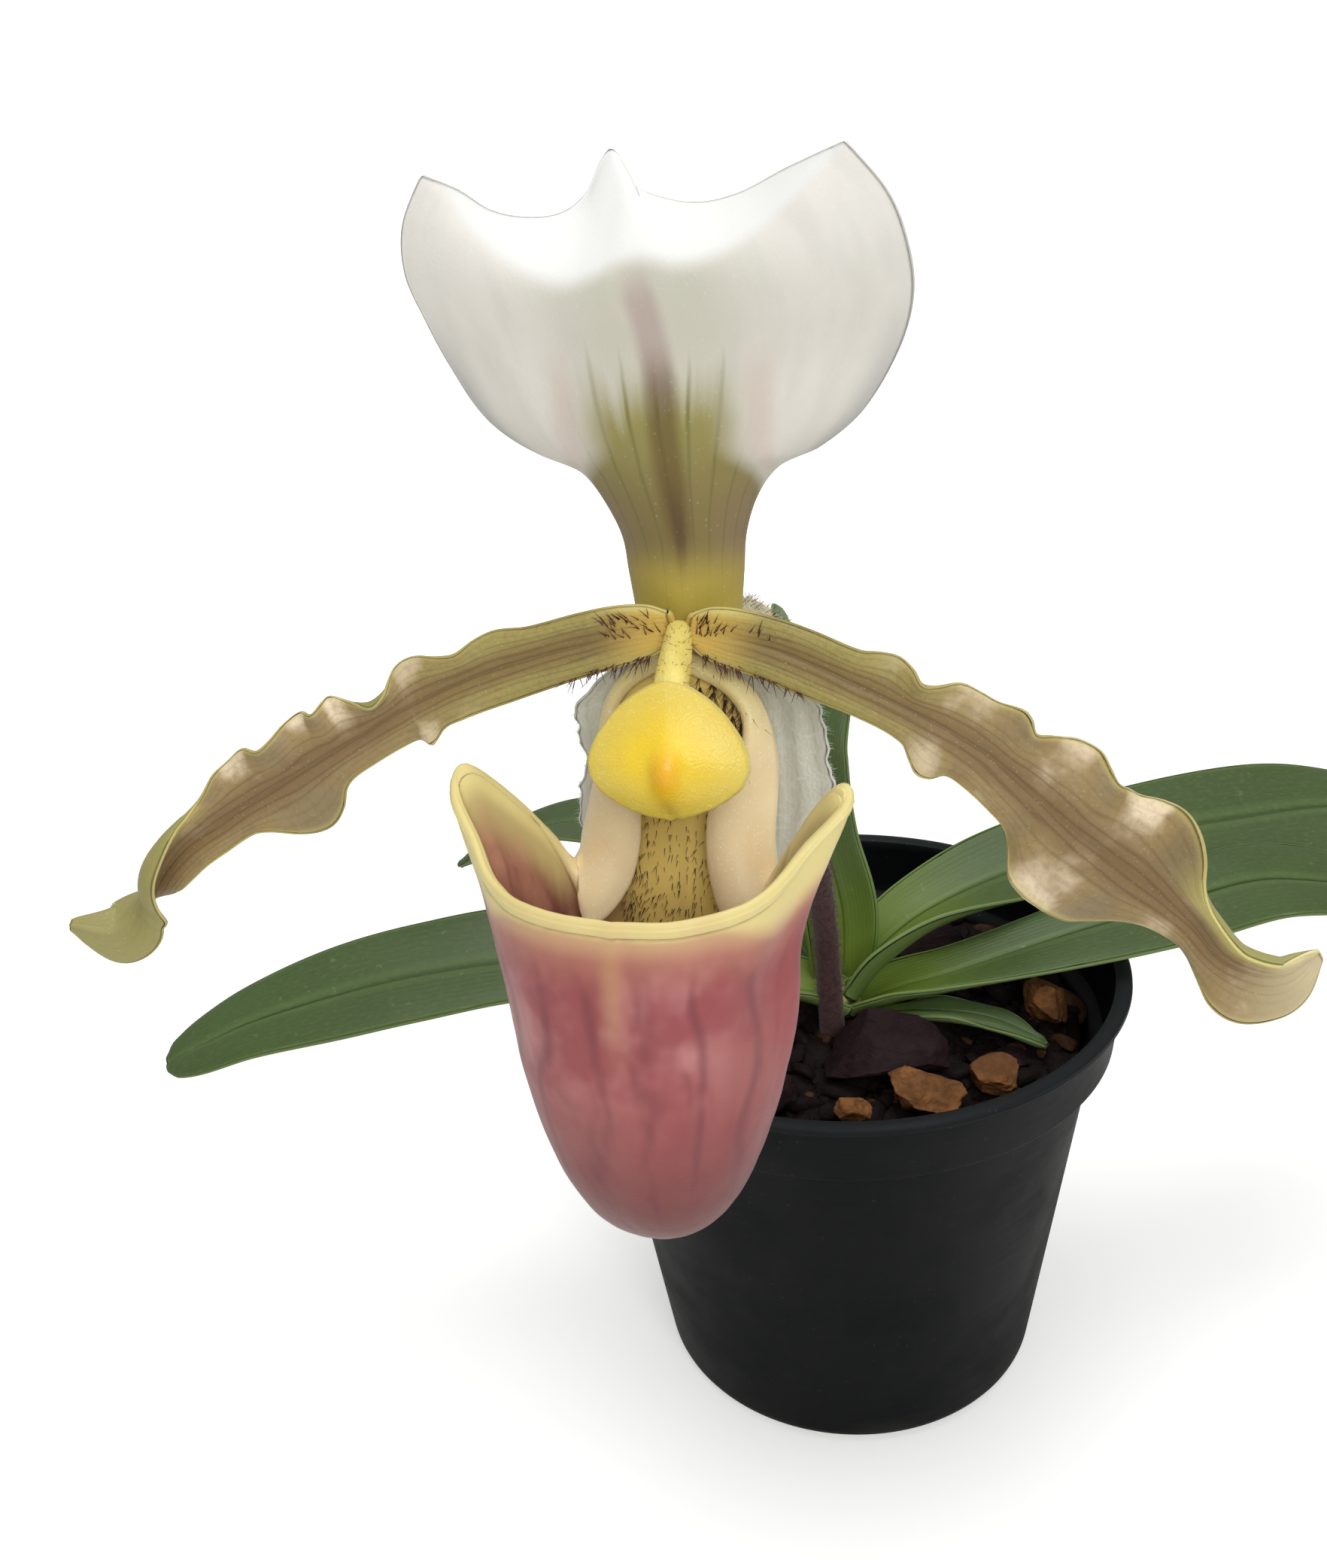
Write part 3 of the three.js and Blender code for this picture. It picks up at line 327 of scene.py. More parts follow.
# Height of the crest where its top margin turns back, against x
DORSAL_CREST = [
    (-12.6, 26.6), (-11.0, 24.3), (-8.9, 22.3), (-6.7, 20.9), (-4.6, 20.4), (-2.7, 20.9),
    (-1.3, 21.5), (0.0, 21.6), (2.1, 21.2), (4.3, 21.6), (6.5, 22.7), (8.3, 24.2), (10.0, 25.9),
    (11.5, 27.4),
]
DORSAL_RECURVE = 0.9
# Where the dip begins along it, how far its shoulders stand from their middle, and that middle
DORSAL_TOP = 0.62
DORSAL_SHOULDER = 11.2
DORSAL_SHOULDER_MIDDLE = -0.6

# Lip rows: degrees round the slipper from the front, rim or fold x y z, free margin x y z, bulge
LIP = [
    (0, 0.0, -8.6, 0.0, 0.0, -8.72, 0.65, 0, 0, 0),
    (30, 5.0, -7.7, 0.2, 5.05, -7.84, 0.85, 0, 0, 0),
    (55, 8.7, -5.2, 0.6, 8.85, -5.3, 1.25, 0, 0, 0),
    (75, 11.0, -2.6, 2.6, 11.2, -2.66, 3.25, 0, 0, 0),
    (88, 12.7, -0.6, 5.7, 12.95, -0.55, 6.25, 0, 0, 0),
    (96, 11.9, 0.4, 6.5, 12.1, 0.5, 7.0, 0, 0, 0),
    (106, 9.5, 2.2, 3.2, 9.55, 2.3, 3.7, 0, 0, 0),
    (116, 7.6, 4.0, -0.4, 7.0, 3.2, -0.8, 0, 0, 0.3),
    (126, 6.8, 4.9, -0.4, 5.4, 1.8, -4.0, -0.2, -0.8, 0.8),
    (138, 6.5, 5.5, 1.6, 3.1, 3.4, -1.6, -0.2, -1.8, 0.8),
    (150, 6.6, 6.1, 5.8, 2.8, 4.2, 3.4, -0.2, -2.0, 0.6),
    (157, 6.4, 6.2, 7.9, 4.4, 4.6, 6.0, 0, -1.6, 0.4),
    (163, 6.0, 6.3, 9.6, 5.1, 4.9, 8.5, 0, -1.1, 0.3),
    (168, 5.2, 6.35, 11.1, 4.8, 5.3, 10.2, 0, -0.7, 0.3),
    (173, 3.6, 6.4, 12.4, 3.4, 5.6, 11.7, 0, -0.5, 0.2),
    (180, 0.0, 6.4, 13.7, 0.0, 5.7, 13.3, 0, 0, 0.2),
]
# How much narrower the left turned-in margin stands than the right one
LIP_LEFT_TUCK = 0.2
# How much further out the left ear stands than the right one
LIP_LEFT_EAR = 0.4
# How much further in the right side stands: its rim before the ear, its flank, and under its ear
LIP_RIGHT_RIM = 1.1
LIP_RIGHT_FLANK = 0.8
LIP_NIP = {"left": 0.3, "right": 1.0}
# Where its nips are: share of its height, and how far they spread
LIP_NIP_PLACE = (0.84, 0.1)
LIP_DEPTH = 24.3
LIP_HALF_WIDTH = 9.5
LIP_MIDDLE = -1.3
LIP_FRONT_REACH = 7.8
LIP_BACK_REACH = 7.0
LIP_HEEL = -2.0
# Control points of its sides: how wide the low and the upper ones stand, and the upper depth
LIP_LOW_SHARE = 0.86
LIP_HALF_WAY_SHARE = 0.92
LIP_HALF_WAY_DEPTH = 0.47
LIP_COLUMNS = 200
LIP_ROWS = 90
LAPEL_ROWS = 20
# Hairs inside it: name, count, degrees round, share of the height, lean, length, radius, bend
LIP_HAIRS = [
    ("lip_wall_hairs", 1500, (165, 203), (0.34, 0.93), 1.0, (0.55, 0.85), 0.032, 0.25),
    ("lip_collar_hairs", 440, (166, 177.5), (0.89, 0.99), 1.1, (1.1, 1.7), 0.042, 0.7),
]

# Staminode: its outline as degrees from the top and distance from its middle, and how it domes
STAMINODE = [
    (0, 4.9), (29, 4.5), (59, 4.5), (78, 4.8), (93, 5.05), (107, 4.9), (126, 4.25), (150, 3.75),
    (180, 3.6),
]
STAMINODE_CENTRE = (0.5, -6.2, -7.6)
STAMINODE_TILT = -10.0
STAMINODE_DOME = 1.5
STAMINODE_THICKNESS = 0.8
# Stigma and anthers: name, centre, radii
BEADS = [
    ("stigma", (0.6, -3.9, -5.8), (1.5, 0.9, 1.3)),
    ("anther_left", (-0.75, -4.3, -4.7), (0.75, 0.75, 0.75)),
    ("anther_right", (1.95, -4.3, -4.7), (0.75, 0.75, 0.75)),
]

# The stage: the backdrop's curve and top in mm, then the lights in metres and watts
BACKDROP_CURVE = 700.0
BACKDROP_TOP = 1900.0
AIR_LIGHT = 0.42
LAMP_SIZE = 0.5
# Name, place, what it shines at, power
LAMPS = [
    ("overhead", (0.02, 0.02, 0.75), (-0.02, -0.05, 0.08), 2.2),
    ("front", (0.08, -0.72, 0.50), (-0.02, -0.07, 0.10), 2.7),
]


def srgb(red, green, blue):
    """A colour given as it shows on a screen, 0 to 255, as scene-linear red, green and blue."""
    def linear(level):
        share = level / 255
        return share / 12.92 if share <= 0.04045 else ((share + 0.055) / 1.055) ** 2.4
    return (linear(red), linear(green), linear(blue))


class OrchidSizes(bpy.types.PropertyGroup):
    """Sizes that a user would change."""
    petal_thickness: FloatProperty(
        name="Petal thickness", description="Thickness of a petal at its middle",
        default=0.8 * MM, unit="LENGTH", precision=4)
    dorsal_thickness: FloatProperty(
        name="Dorsal sepal thickness", description="Thickness of the top sepal at its middle",
        default=0.7 * MM, unit="LENGTH", precision=4)
    synsepal_thickness: FloatProperty(
        name="Lower sepal thickness", description="Thickness of the lower sepals",
        default=0.5 * MM, unit="LENGTH", precision=4)
    lip_thickness: FloatProperty(
        name="Lip thickness", description="Thickness of the slipper's wall",
        default=0.8 * MM, unit="LENGTH", precision=4)
    leaf_thickness: FloatProperty(
        name="Leaf thickness", description="Thickness of a leaf at its middle",
        default=1.3 * MM, unit="LENGTH", precision=4)
    bract_thickness: FloatProperty(
        name="Bract thickness", description="Thickness of the bract",
        default=0.5 * MM, unit="LENGTH", precision=4)
    crumbs: IntProperty(
        name="Crumbs", description="How many small crumbs lie on the potting mix",
        default=900, min=0)
    backdrop_radius: FloatProperty(
        name="Backdrop radius", description="Radius of the pale floor before it curves up",
        default=1.1, unit="LENGTH")


class OrchidColours(bpy.types.PropertyGroup):
    """Colours that a user would change."""
    def colour(name, description, red, green, blue):
        return FloatVectorProperty(
            name=name, description=description, default=srgb(red, green, blue),
            subtype="COLOR", size=3, min=0, max=1)
    pot: colour("Pot", "Moulded plastic of the pot", 6, 8, 9)
    tan_bark: colour("Tan bark", "Inside of a bark chip", 148, 100, 58)
    dark_bark: colour("Dark bark", "Wet skin of a bark chip", 40, 25, 29)
    leaf: colour("Leaf", "Upper side of a grown leaf", 74, 94, 50)
    young_leaf: colour("Leaf base", "Young tissue at a leaf's base", 112, 134, 44)
    scape: colour("Scape", "Skin of the flower stem", 84, 56, 54)
    ovary: colour("Ovary", "Skin of the ovary", 206, 196, 152)
    bract: colour("Bract", "Small leaf below the flower", 112, 146, 74)
    sepal: colour("Sepal white", "Lobes of the top sepal", 234, 230, 222)
    sepal_green: colour("Sepal green", "Foot of the top sepal", 156, 146, 78)
    lower_sepal: colour("Lower sepal", "Lower sepals behind the lip", 214, 215, 198)
    petal: colour("Petal tan", "Blade of a petal", 162, 138, 94)
    # Painted highlight: the pale paint for places of a petal that face up to the light
    petal_pale: colour("Petal pale", "Raised places of a petal", 240, 220, 188)
    petal_brown: colour("Petal brown", "Midline of a petal", 128, 98, 62)
    margin: colour("Petal margin", "Edge of a petal", 214, 202, 124)
    rose: colour("Lip rose", "Outside of the slipper", 160, 80, 82)
    rim: colour("Lip rim", "Rim and ears of the slipper", 238, 220, 150)
    lapel: colour("Lip lapel", "Turned-in side margins of the slipper", 255, 232, 186)
    staminode: colour("Staminode", "Shield in front of the column", 255, 218, 50)
    column: colour("Column", "Column and its foot", 255, 232, 128)
    floor: colour("Floor", "Backdrop", 244, 244, 242)


# Frames of the flower and of the lip

def turn_z(degrees):
    c, s = math.cos(math.radians(degrees)), math.sin(math.radians(degrees))
    return np.array([[c, -s, 0], [s, c, 0], [0, 0, 1]])


def turn_x(degrees):
    c, s = math.cos(math.radians(degrees)), math.sin(math.radians(degrees))
    return np.array([[1, 0, 0], [0, c, -s], [0, s, c]])


FLOWER_TURN = turn_z(FLOWER_YAW) @ turn_x(FLOWER_TILT)


def in_flower(points):
    """Points of the flower's frame, in the part's frame."""
    return np.asarray(points, float) @ FLOWER_TURN.T + np.array(FLOWER_CENTRE)


def flower_way(direction):
    """A direction of the flower's frame, in the part's frame."""
    return np.asarray(direction, float) @ FLOWER_TURN.T


def in_lip(points):
    """Points of the lip's frame, in the part's frame."""
    return in_flower((np.asarray(points, float) + np.array(LIP_OFFSET)) @ turn_z(LIP_YAW).T)


# Curves and grids

def along(rows, place):
    """A smooth curve through rows of values, each row led by its place along the curve."""
    table = np.asarray(rows, float)
    at, values = table[:, 0], table[:, 1:]
    slope = np.empty_like(values)
    slope[1:-1] = (values[2:] - values[:-2]) / (at[2:] - at[:-2])[:, None]
    slope[0] = (values[1] - values[0]) / (at[1] - at[0])
    slope[-1] = (values[-1] - values[-2]) / (at[-1] - at[-2])
    place = np.asarray(place, float)
    i = np.clip(np.searchsorted(at, place, side="right") - 1, 0, len(at) - 2)
    step = (at[i + 1] - at[i])[..., None]
    u = (place - at[i])[..., None] / step
    return (values[i] * (2 * u ** 3 - 3 * u ** 2 + 1) + values[i + 1] * (3 * u ** 2 - 2 * u ** 3)
            + step * (slope[i] * (u ** 3 - 2 * u ** 2 + u) + slope[i + 1] * (u ** 3 - u ** 2)))


def unit(vectors):
    length = np.linalg.norm(vectors, axis=-1, keepdims=True)
    return vectors / np.maximum(length, 1e-9)


def eased(value, low, high):
    """0 below low, 1 above high, smooth between them."""
    share = np.clip((value - low) / (high - low), 0, 1)
    return share * share * (3 - 2 * share)


def blade_grid(rows, side, columns, count, shape=None):
    """Sections across a midrib, each rolled and cupped: so many columns of so many points.

    shape takes the places and half widths, and gives new half widths, lift in mm and extra bend.
    """
    lengthwise = np.linspace(0, 1, count)
    values = along(rows, lengthwise)
    centre = values[:, :3]
    plus, minus, roll, cup = (values[:, k] for k in range(3, 7))
    tangent = unit(along(rows, np.clip(lengthwise + 0.001, 0, 1))[:, :3]
                   - along(rows, np.clip(lengthwise - 0.001, 0, 1))[:, :3])
    side = unit(np.asarray(side, float))
    level = unit(side - tangent * (tangent @ side)[:, None])
    up = np.cross(level, tangent)
    turn = np.radians(roll)[:, None]
    outwards = level * np.cos(turn) + up * np.sin(turn)
    facing = up * np.cos(turn) - level * np.sin(turn)
    s = np.linspace(-1, 1, columns)[:, None]
    reach = np.abs(s)
    wide = np.where(s > 0, plus[None, :], minus[None, :])
    lift, bend = np.zeros_like(wide), cup[None, :] + np.zeros_like(wide)
    if shape is not None:
        wide, lift, curl = shape(s, lengthwise[None, :], wide)
        bend = bend + curl
    bend = np.where(np.abs(bend) < 0.001, 0.001, bend)
    outward = np.sign(s) * wide * np.sin(bend * reach) / bend
    lift = lift + wide * (1 - np.cos(bend * reach)) / bend
    return centre[None] + outwards[None] * outward[..., None] + facing[None] * lift[..., None]


def grid_normals(grid, ring=False):
    """Unit normals of a grid, across it times along it."""
    sideways = np.empty_like(grid)
    sideways[1:-1] = grid[2:] - grid[:-2]
    sideways[0] = grid[1] - grid[-1] if ring else grid[1] - grid[0]
    sideways[-1] = grid[0] - grid[-2] if ring else grid[-1] - grid[-2]
    forwards = np.empty_like(grid)
    forwards[:, 1:-1] = grid[:, 2:] - grid[:, :-2]
    forwards[:, 0] = grid[:, 1] - grid[:, 0]
    forwards[:, -1] = grid[:, -1] - grid[:, -2]
    return unit(np.cross(sideways, forwards))


def mesh_piece(name, points, faces, material, uv=None, marks=None):
    """A mesh object from points in mm, with a place for each point and named marks on them."""
    mesh = bpy.data.meshes.new(name)
    mesh.from_pydata((np.asarray(points) * MM).tolist(), [], faces)
    mesh.validate()
    mesh.polygons.foreach_set("use_smooth", [True] * len(mesh.polygons))
    if uv is not None:
        corners = np.empty(len(mesh.loops), np.int32)
        mesh.loops.foreach_get("vertex_index", corners)
        layer = mesh.uv_layers.new(name="place")
        layer.uv.foreach_set("vector", np.asarray(uv, np.float32)[corners].ravel())
    for mark, values in (marks or {}).items():
        layer = mesh.attributes.new(mark, "FLOAT", "POINT")
        layer.data.foreach_set("value", np.asarray(values, np.float32).ravel())
    mesh.update()
    piece = bpy.data.objects.new(name, mesh)
    bpy.context.scene.collection.objects.link(piece)
    mesh.materials.append(material)
    return piece


def settle(piece, slot, *nodes):
    """The piece rides on the part and stands for CAD nodes, which it hides; the slot is not used."""
    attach(piece, BODY)
    if nodes:
        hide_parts(*nodes)


def sheet(name, grid, thickness, material, ring=False, pole=False, uv=None, marks=None,
          thin_edge=0.45, relief=None):
    """A thin closed body round a grid, thinner and rounded at its free edges."""
    across, lengthwise = grid.shape[:2]
    normals = grid_normals(grid, ring)
    if pole:
        quarter = across // 4
        normals[:, 0] = unit(np.cross(grid[2 * quarter, 1] - grid[0, 1],
                                      grid[quarter, 1] - grid[3 * quarter, 1]))
    if relief is not None:
        grid = grid + normals * relief[..., None]
    s = np.linspace(-1, 1, across)[:, None]
    t = np.linspace(0, 1, lengthwise)[None, :]
    edge = np.maximum(0 * s if ring else np.abs(s), eased(t, 0.9, 1.0) * 0.999)
    half = thickness / 2 * (thin_edge + (1 - thin_edge) * (1 - edge ** 6))
    front = grid + normals * half[..., None]
    back = grid - normals * half[..., None]
    if uv is None:
        u = np.broadcast_to((s + 1) / 2, (across, lengthwise))
        v = np.broadcast_to(t, (across, lengthwise))
        uv = np.stack([u, v], -1)
    count = across * lengthwise
    points = [front.reshape(-1, 3), back.reshape(-1, 3)]
    places = [uv.reshape(-1, 2), uv.reshape(-1, 2)]
    facing = [np.ones(count), np.zeros(count)]
    sources = [np.arange(count), np.arange(count)]
    index = np.arange(count).reshape(across, lengthwise)
    if pole:
        index[:, 0] = index[0, 0]
    wrapped = np.vstack([index, index[:1]]) if ring else index
    a, b = wrapped[:-1, :-1].ravel(), wrapped[1:, :-1].ravel()
    c, d = wrapped[1:, 1:].ravel(), wrapped[:-1, 1:].ravel()
    quads = np.stack([a, b, c, d], 1)
    faces = quads.tolist() + (quads[:, ::-1] + count).tolist()
    if pole:
        faces = [tidy for face in faces if len(tidy := list(dict.fromkeys(face))) > 2]

    def rim(edge_index, inner_index):
        """Rounds one free edge with rows of points that go half way round it."""
        flat, out_of = grid.reshape(-1, 3)[edge_index], grid.reshape(-1, 3)[inner_index]
        out = unit(flat - out_of)
        up = normals.reshape(-1, 3)[edge_index]
        reach = half.reshape(-1)[edge_index][:, None]
        rows = [edge_index]
        for turn in np.radians((40, 90, 140)):
            start = sum(len(block) for block in points)
            points.append(flat + (up * math.cos(turn) + out * math.sin(turn)) * reach)
            places.append(uv.reshape(-1, 2)[edge_index])
            facing.append(np.full(len(edge_index), (1 + math.cos(turn)) / 2))
            sources.append(edge_index)
            rows.append(start + np.arange(len(edge_index)))
        rows.append(edge_index + count)
        for upper, lower in zip(rows[:-1], rows[1:]):
            for k in range(len(edge_index) - 1):
                faces.append([upper[k], upper[k + 1], lower[k + 1], lower[k]])

    if ring:
        order = list(range(across)) + [0]
        rim(index[order, -1], index[order, -2])
    else:
        loop = np.concatenate([index[::-1, 0][:-1], index[0, :][:-1], index[:, -1][:-1],
                               index[-1, ::-1]])
        near = np.concatenate([index[::-1, 1][:-1], index[1, :][:-1], index[:, -2][:-1],
                               index[-2, ::-1]])
        rim(loop[::-1], near[::-1])
    chosen = np.concatenate(sources)
    all_marks = {"facing": np.concatenate(facing)}
    for mark, values in (marks or {}).items():
        all_marks[mark] = np.asarray(values, float).reshape(-1)[chosen]
    return mesh_piece(name, np.vstack(points), faces, material, np.vstack(places), all_marks)


def ring_faces(rings, sides, flipped=False, ends=(0, -1)):
    """Faces between rings of points and over the end rings, which face out, or in when flipped."""
    index = np.arange(rings * sides).reshape(rings, sides)
    beside = np.roll(index, -1, axis=1)
    corners = [index[:-1], beside[:-1], beside[1:], index[1:]]
    if flipped:
        corners = corners[:1] + corners[:0:-1]
    faces = np.stack(corners, -1).reshape(-1, 4).tolist()
    for end in ends:
        step = -1 if (end == 0) != flipped else 1
        faces.append(index[end, ::step].tolist())
    return faces


def tube(name, rows, sides, count, material, place=None, bumps=None):
    """A round stem through rows of centre and radius, closed at both ends."""
    t = np.linspace(0, 1, count)
    values = along(rows, t)
    centre, radius = values[:, :3], values[:, 3]
    if place is not None:
        centre = place(centre)
    tangent = unit(np.gradient(centre, axis=0))
    across = unit(np.array([1.0, 0, 0]) - tangent * tangent[:, :1])
    third = np.cross(tangent, across)
    angle = np.linspace(0, 2 * np.pi, sides, endpoint=False)
    reach = np.broadcast_to(radius[:, None], (count, sides))
    if bumps is not None:
        reach = reach * bumps(t[:, None], angle[None, :])
    ring = (across[:, None] * np.cos(angle)[None, :, None]
            + third[:, None] * np.sin(angle)[None, :, None])
    points = centre[:, None] + ring * reach[..., None]
    u = np.broadcast_to(angle[None] / (2 * np.pi), (count, sides))
    v = np.broadcast_to(t[:, None], (count, sides))
    piece = mesh_piece(name, points.reshape(-1, 3), ring_faces(count, sides), material,
                       np.stack([u, v], -1).reshape(-1, 2))
    return piece, points, ring


def hairs(name, slot, roots, directions, lengths, radius, material, seed, bend=0.3, rings=3):
    """Thin tapered hairs as one piece: each bends a little at random."""
    random = np.random.default_rng(seed)
    count = len(roots)
    directions = unit(directions)
    lengths = lengths[:, None]
    curl = unit(random.normal(size=(count, 3))) * bend * random.uniform(0.3, 1.0, (count, 1))
    helper = np.where(np.abs(directions[:, 2:]) < 0.9, [[0, 0, 1.0]], [[1.0, 0, 0]])
    first = unit(np.cross(directions, helper))
    second = np.cross(directions, first)
    steps = np.linspace(0, 1, rings + 1)
    points = np.empty((count, rings * 3 + 1, 3))
    for k, share in enumerate(steps):
        centre = roots + directions * lengths * share + curl * lengths * share ** 2
        if k == rings:
            points[:, rings * 3] = centre
            continue
        reach = radius * (1 - 0.8 * share)
        for side in range(3):
            angle = 2 * math.pi * side / 3
            points[:, k * 3 + side] = centre + reach * (
                first * math.cos(angle) + second * math.sin(angle))
    pattern = []
    for k in range(rings - 1):
        for side in range(3):
            beside = (side + 1) % 3
            pattern.append([k * 3 + side, k * 3 + beside, k * 3 + 3 + beside, k * 3 + 3 + side])
    last = (rings - 1) * 3
    tips = [[last, last + 1, last + 3], [last + 1, last + 2, last + 3], [last + 2, last, last + 3]]
    starts = (np.arange(count) * (rings * 3 + 1))[:, None, None]
    faces = []
    for block in (pattern, tips, [[2, 1, 0]]):
        faces += (np.array(block) + starts).reshape(-1, len(block[0])).tolist()
    settle(mesh_piece(name, points.reshape(-1, 3), faces, material), slot)


def on_grid(grid, s, t):
    """Points and normals of a grid at places s from -1 to 1 across and t from 0 to 1 along."""
    across, lengthwise = grid.shape[:2]
    i = np.clip((s + 1) / 2 * (across - 1), 0, across - 1.001)
    j = np.clip(t * (lengthwise - 1), 0, lengthwise - 1.001)
    i0, j0 = i.astype(int), j.astype(int)
    fi, fj = (i - i0)[:, None], (j - j0)[:, None]
    normals = grid_normals(grid)

    def read(values):
        return ((values[i0, j0] * (1 - fi) + values[i0 + 1, j0] * fi) * (1 - fj)
                + (values[i0, j0 + 1] * (1 - fi) + values[i0 + 1, j0 + 1] * fi) * fj)
    return read(grid), unit(read(normals))


# Material trees

def feed(socket, value):
    if isinstance(value, bpy.types.NodeSocket):
        socket.id_data.links.new(value, socket)
    elif socket.type == "RGBA":
        socket.default_value = (*value, 1.0)
    else:
        socket.default_value = value


def put(kind, inputs, tree=None, **settings):
    """A node with its settings and inputs, in the tree that its first linked input comes from."""
    if tree is None:
        tree = next(value.id_data for value in inputs.values()
                    if isinstance(value, bpy.types.NodeSocket))
    node = tree.nodes.new(kind)
    for key, value in settings.items():
        setattr(node, key, value)
    for key, value in inputs.items():
        feed(node.inputs[key], value)
    return node


def maths(operation, *values):
    return put("ShaderNodeMath", dict(enumerate(values)), operation=operation).outputs[0]


def times(*values):
    result = values[0]
    for value in values[1:]:
        result = maths("MULTIPLY", result, value)
    return result


def rise(value, low, high, bottom=0.0, top=1.0):
    """A smooth step of value from low to high."""
    return put("ShaderNodeMapRange", {"Value": value, "From Min": low, "From Max": high,
                                      "To Min": bottom, "To Max": top},
               interpolation_type="SMOOTHSTEP").outputs[0]


def painted(colour, *layers):
    """A colour under layers of paint, each with its mask, its strength and its own colour."""
    for mask, strength, paint in layers:
        share = mask if strength == 1 else times(mask, strength)
        colour = put("ShaderNodeMix", {0: share, 6: colour, 7: paint}, data_type="RGBA").outputs[2]
    return colour


def noise(vector, scale, detail=2.0, rough=0.5, distortion=0.0):
    return put("ShaderNodeTexNoise", {"Vector": vector, "Scale": scale, "Detail": detail,
                                      "Roughness": rough, "Distortion": distortion}).outputs["Fac"]


def joined(x, y, z=0.0):
    return put("ShaderNodeCombineXYZ", {"X": x, "Y": y, "Z": z}).outputs["Vector"]


def sheet_noise(across, length, x, y, scale=1.0, detail=3.0):
    """Noise on a sheet, x times as fine across it and y times as fine along it."""
    return noise(joined(times(across, x), times(length, y)), scale, detail)


def stretched(vector, share):
    return put("ShaderNodeMapping", {"Vector": vector, "Scale": share}).outputs["Vector"]


def mark(tree, name):
    return put("ShaderNodeAttribute", {}, tree, attribute_name=name).outputs["Fac"]


def sheet_place(tree):
    """Where a point lies on its sheet: across from -1 to 1, its distance from the midline, along."""
    place = put("ShaderNodeUVMap", {}, tree, uv_map="place").outputs["UV"]
    parts = put("ShaderNodeSeparateXYZ", {"Vector": place}).outputs
    across = maths("MULTIPLY_ADD", parts["X"], 2.0, -1.0)
    return across, maths("ABSOLUTE", across), parts["Y"]


def shared(name, values, outputs, build):
    """Places a node group, built once, with its own values, and gives its outputs."""
    if name not in bpy.data.node_groups:
        tree = bpy.data.node_groups.new(name, "ShaderNodeTree")
        for label in values:
            kind = "NodeSocketVector" if label == "Vector" else "NodeSocketFloat"
            tree.interface.new_socket(label, in_out="INPUT", socket_type=kind)
        for label in outputs:
            tree.interface.new_socket(label, in_out="OUTPUT", socket_type="NodeSocketFloat")
        made = build(tree.nodes.new("NodeGroupInput").outputs)
        taken = tree.nodes.new("NodeGroupOutput")
        for label, value in zip(outputs, made):
            feed(taken.inputs[label], value)
    return put("ShaderNodeGroup", values, node_tree=bpy.data.node_groups[name]).outputs


def veins(across, length, count, width, wander, seed, bends=5.0):
    """A mask of lines that run along a sheet, evenly spaced across it, and wander as they go."""
    def build(given):
        bent = noise(joined(times(given["Across"], 3.0), times(given["Along"], given["Bends"]),
                            given["Seed"]), 1.0)
        swing = times(maths("SUBTRACT", bent, 0.5), given["Wander"])
        phase = maths("MULTIPLY_ADD", given["Across"], given["Count"], swing)
        near = maths("ABSOLUTE", maths("SUBTRACT", maths("FRACT", phase), 0.5))
        return [rise(near, 0.0, given["Width"], 1.0, 0.0)]
    return shared("Vein lines", {"Across": across, "Along": length, "Count": count, "Width": width,
                                 "Wander": wander, "Bends": bends, "Seed": seed},
                  ["Mask"], build)["Mask"]


def mottle(place, scale, low, high):
    """A mask of soft blotches."""
    def build(given):
        field = noise(given["Vector"], given["Scale"], 3.0, 0.55)
        return [rise(field, given["Low"], given["High"])]
    return shared("Soft mottle", {"Vector": place, "Scale": scale, "Low": low, "High": high},
                  ["Mask"], build)["Mask"]


def skin_cells(place, scale, glint_from):
    """Skin cells: the height of their tiny domes, and a mask of those that glint."""
    def build(given):
        cells = put("ShaderNodeTexVoronoi", {"Vector": given["Vector"],
                                             "Scale": given["Scale"]}).outputs
        pick = put("ShaderNodeSeparateColor", {"Color": cells["Color"]}).outputs["Red"]
        glint = rise(pick, given["Glint from"], 1.0)
        return [maths("SUBTRACT", 1.0, cells["Distance"]),
                times(glint, rise(cells["Distance"], 0.1, 0.5, 1.0, 0.0))]
    made = shared("Skin cells", {"Vector": place, "Scale": scale, "Glint from": glint_from},
                  ["Height", "Glint"], build)
    return made["Height"], made["Glint"]


def new_material(name):
    """An empty material, its node tree, and where a point lies on the body."""
    material = bpy.data.materials.new(name)
    material.use_nodes = True
    tree = material.node_tree
    tree.nodes.clear()
    return material, tree, put("ShaderNodeTexCoord", {}, tree).outputs["Object"]


def finish_material(material, colour, rough, height=None, depth=0.05 * MM, bump=0.5, subsurface=0.0,
                    coat=0.0, specular=0.5, sheen=0.0, glow=(1.0, 0.6, 0.3), light=0.0):
    shader = put("ShaderNodeBsdfPrincipled", {
        "Base Color": colour, "Roughness": rough, "Specular IOR Level": specular,
        "Coat Weight": coat, "Coat Roughness": 0.3, "Sheen Weight": sheen,
        "Subsurface Weight": subsurface, "Subsurface Scale": 1.2 * MM, "Subsurface Radius": glow,
        "Emission Color": (1.0, 1.0, 1.0), "Emission Strength": light})
    if height is not None:
        raised = put("ShaderNodeBump", {"Height": height, "Distance": depth, "Strength": bump})
        feed(shader.inputs["Normal"], raised.outputs["Normal"])
    put("ShaderNodeOutputMaterial", {"Surface": shader.outputs["BSDF"]})
    return material


def shade(colour, factor):
    """A colour made darker or lighter."""
    return tuple(min(level * factor, 1.0) for level in colour)


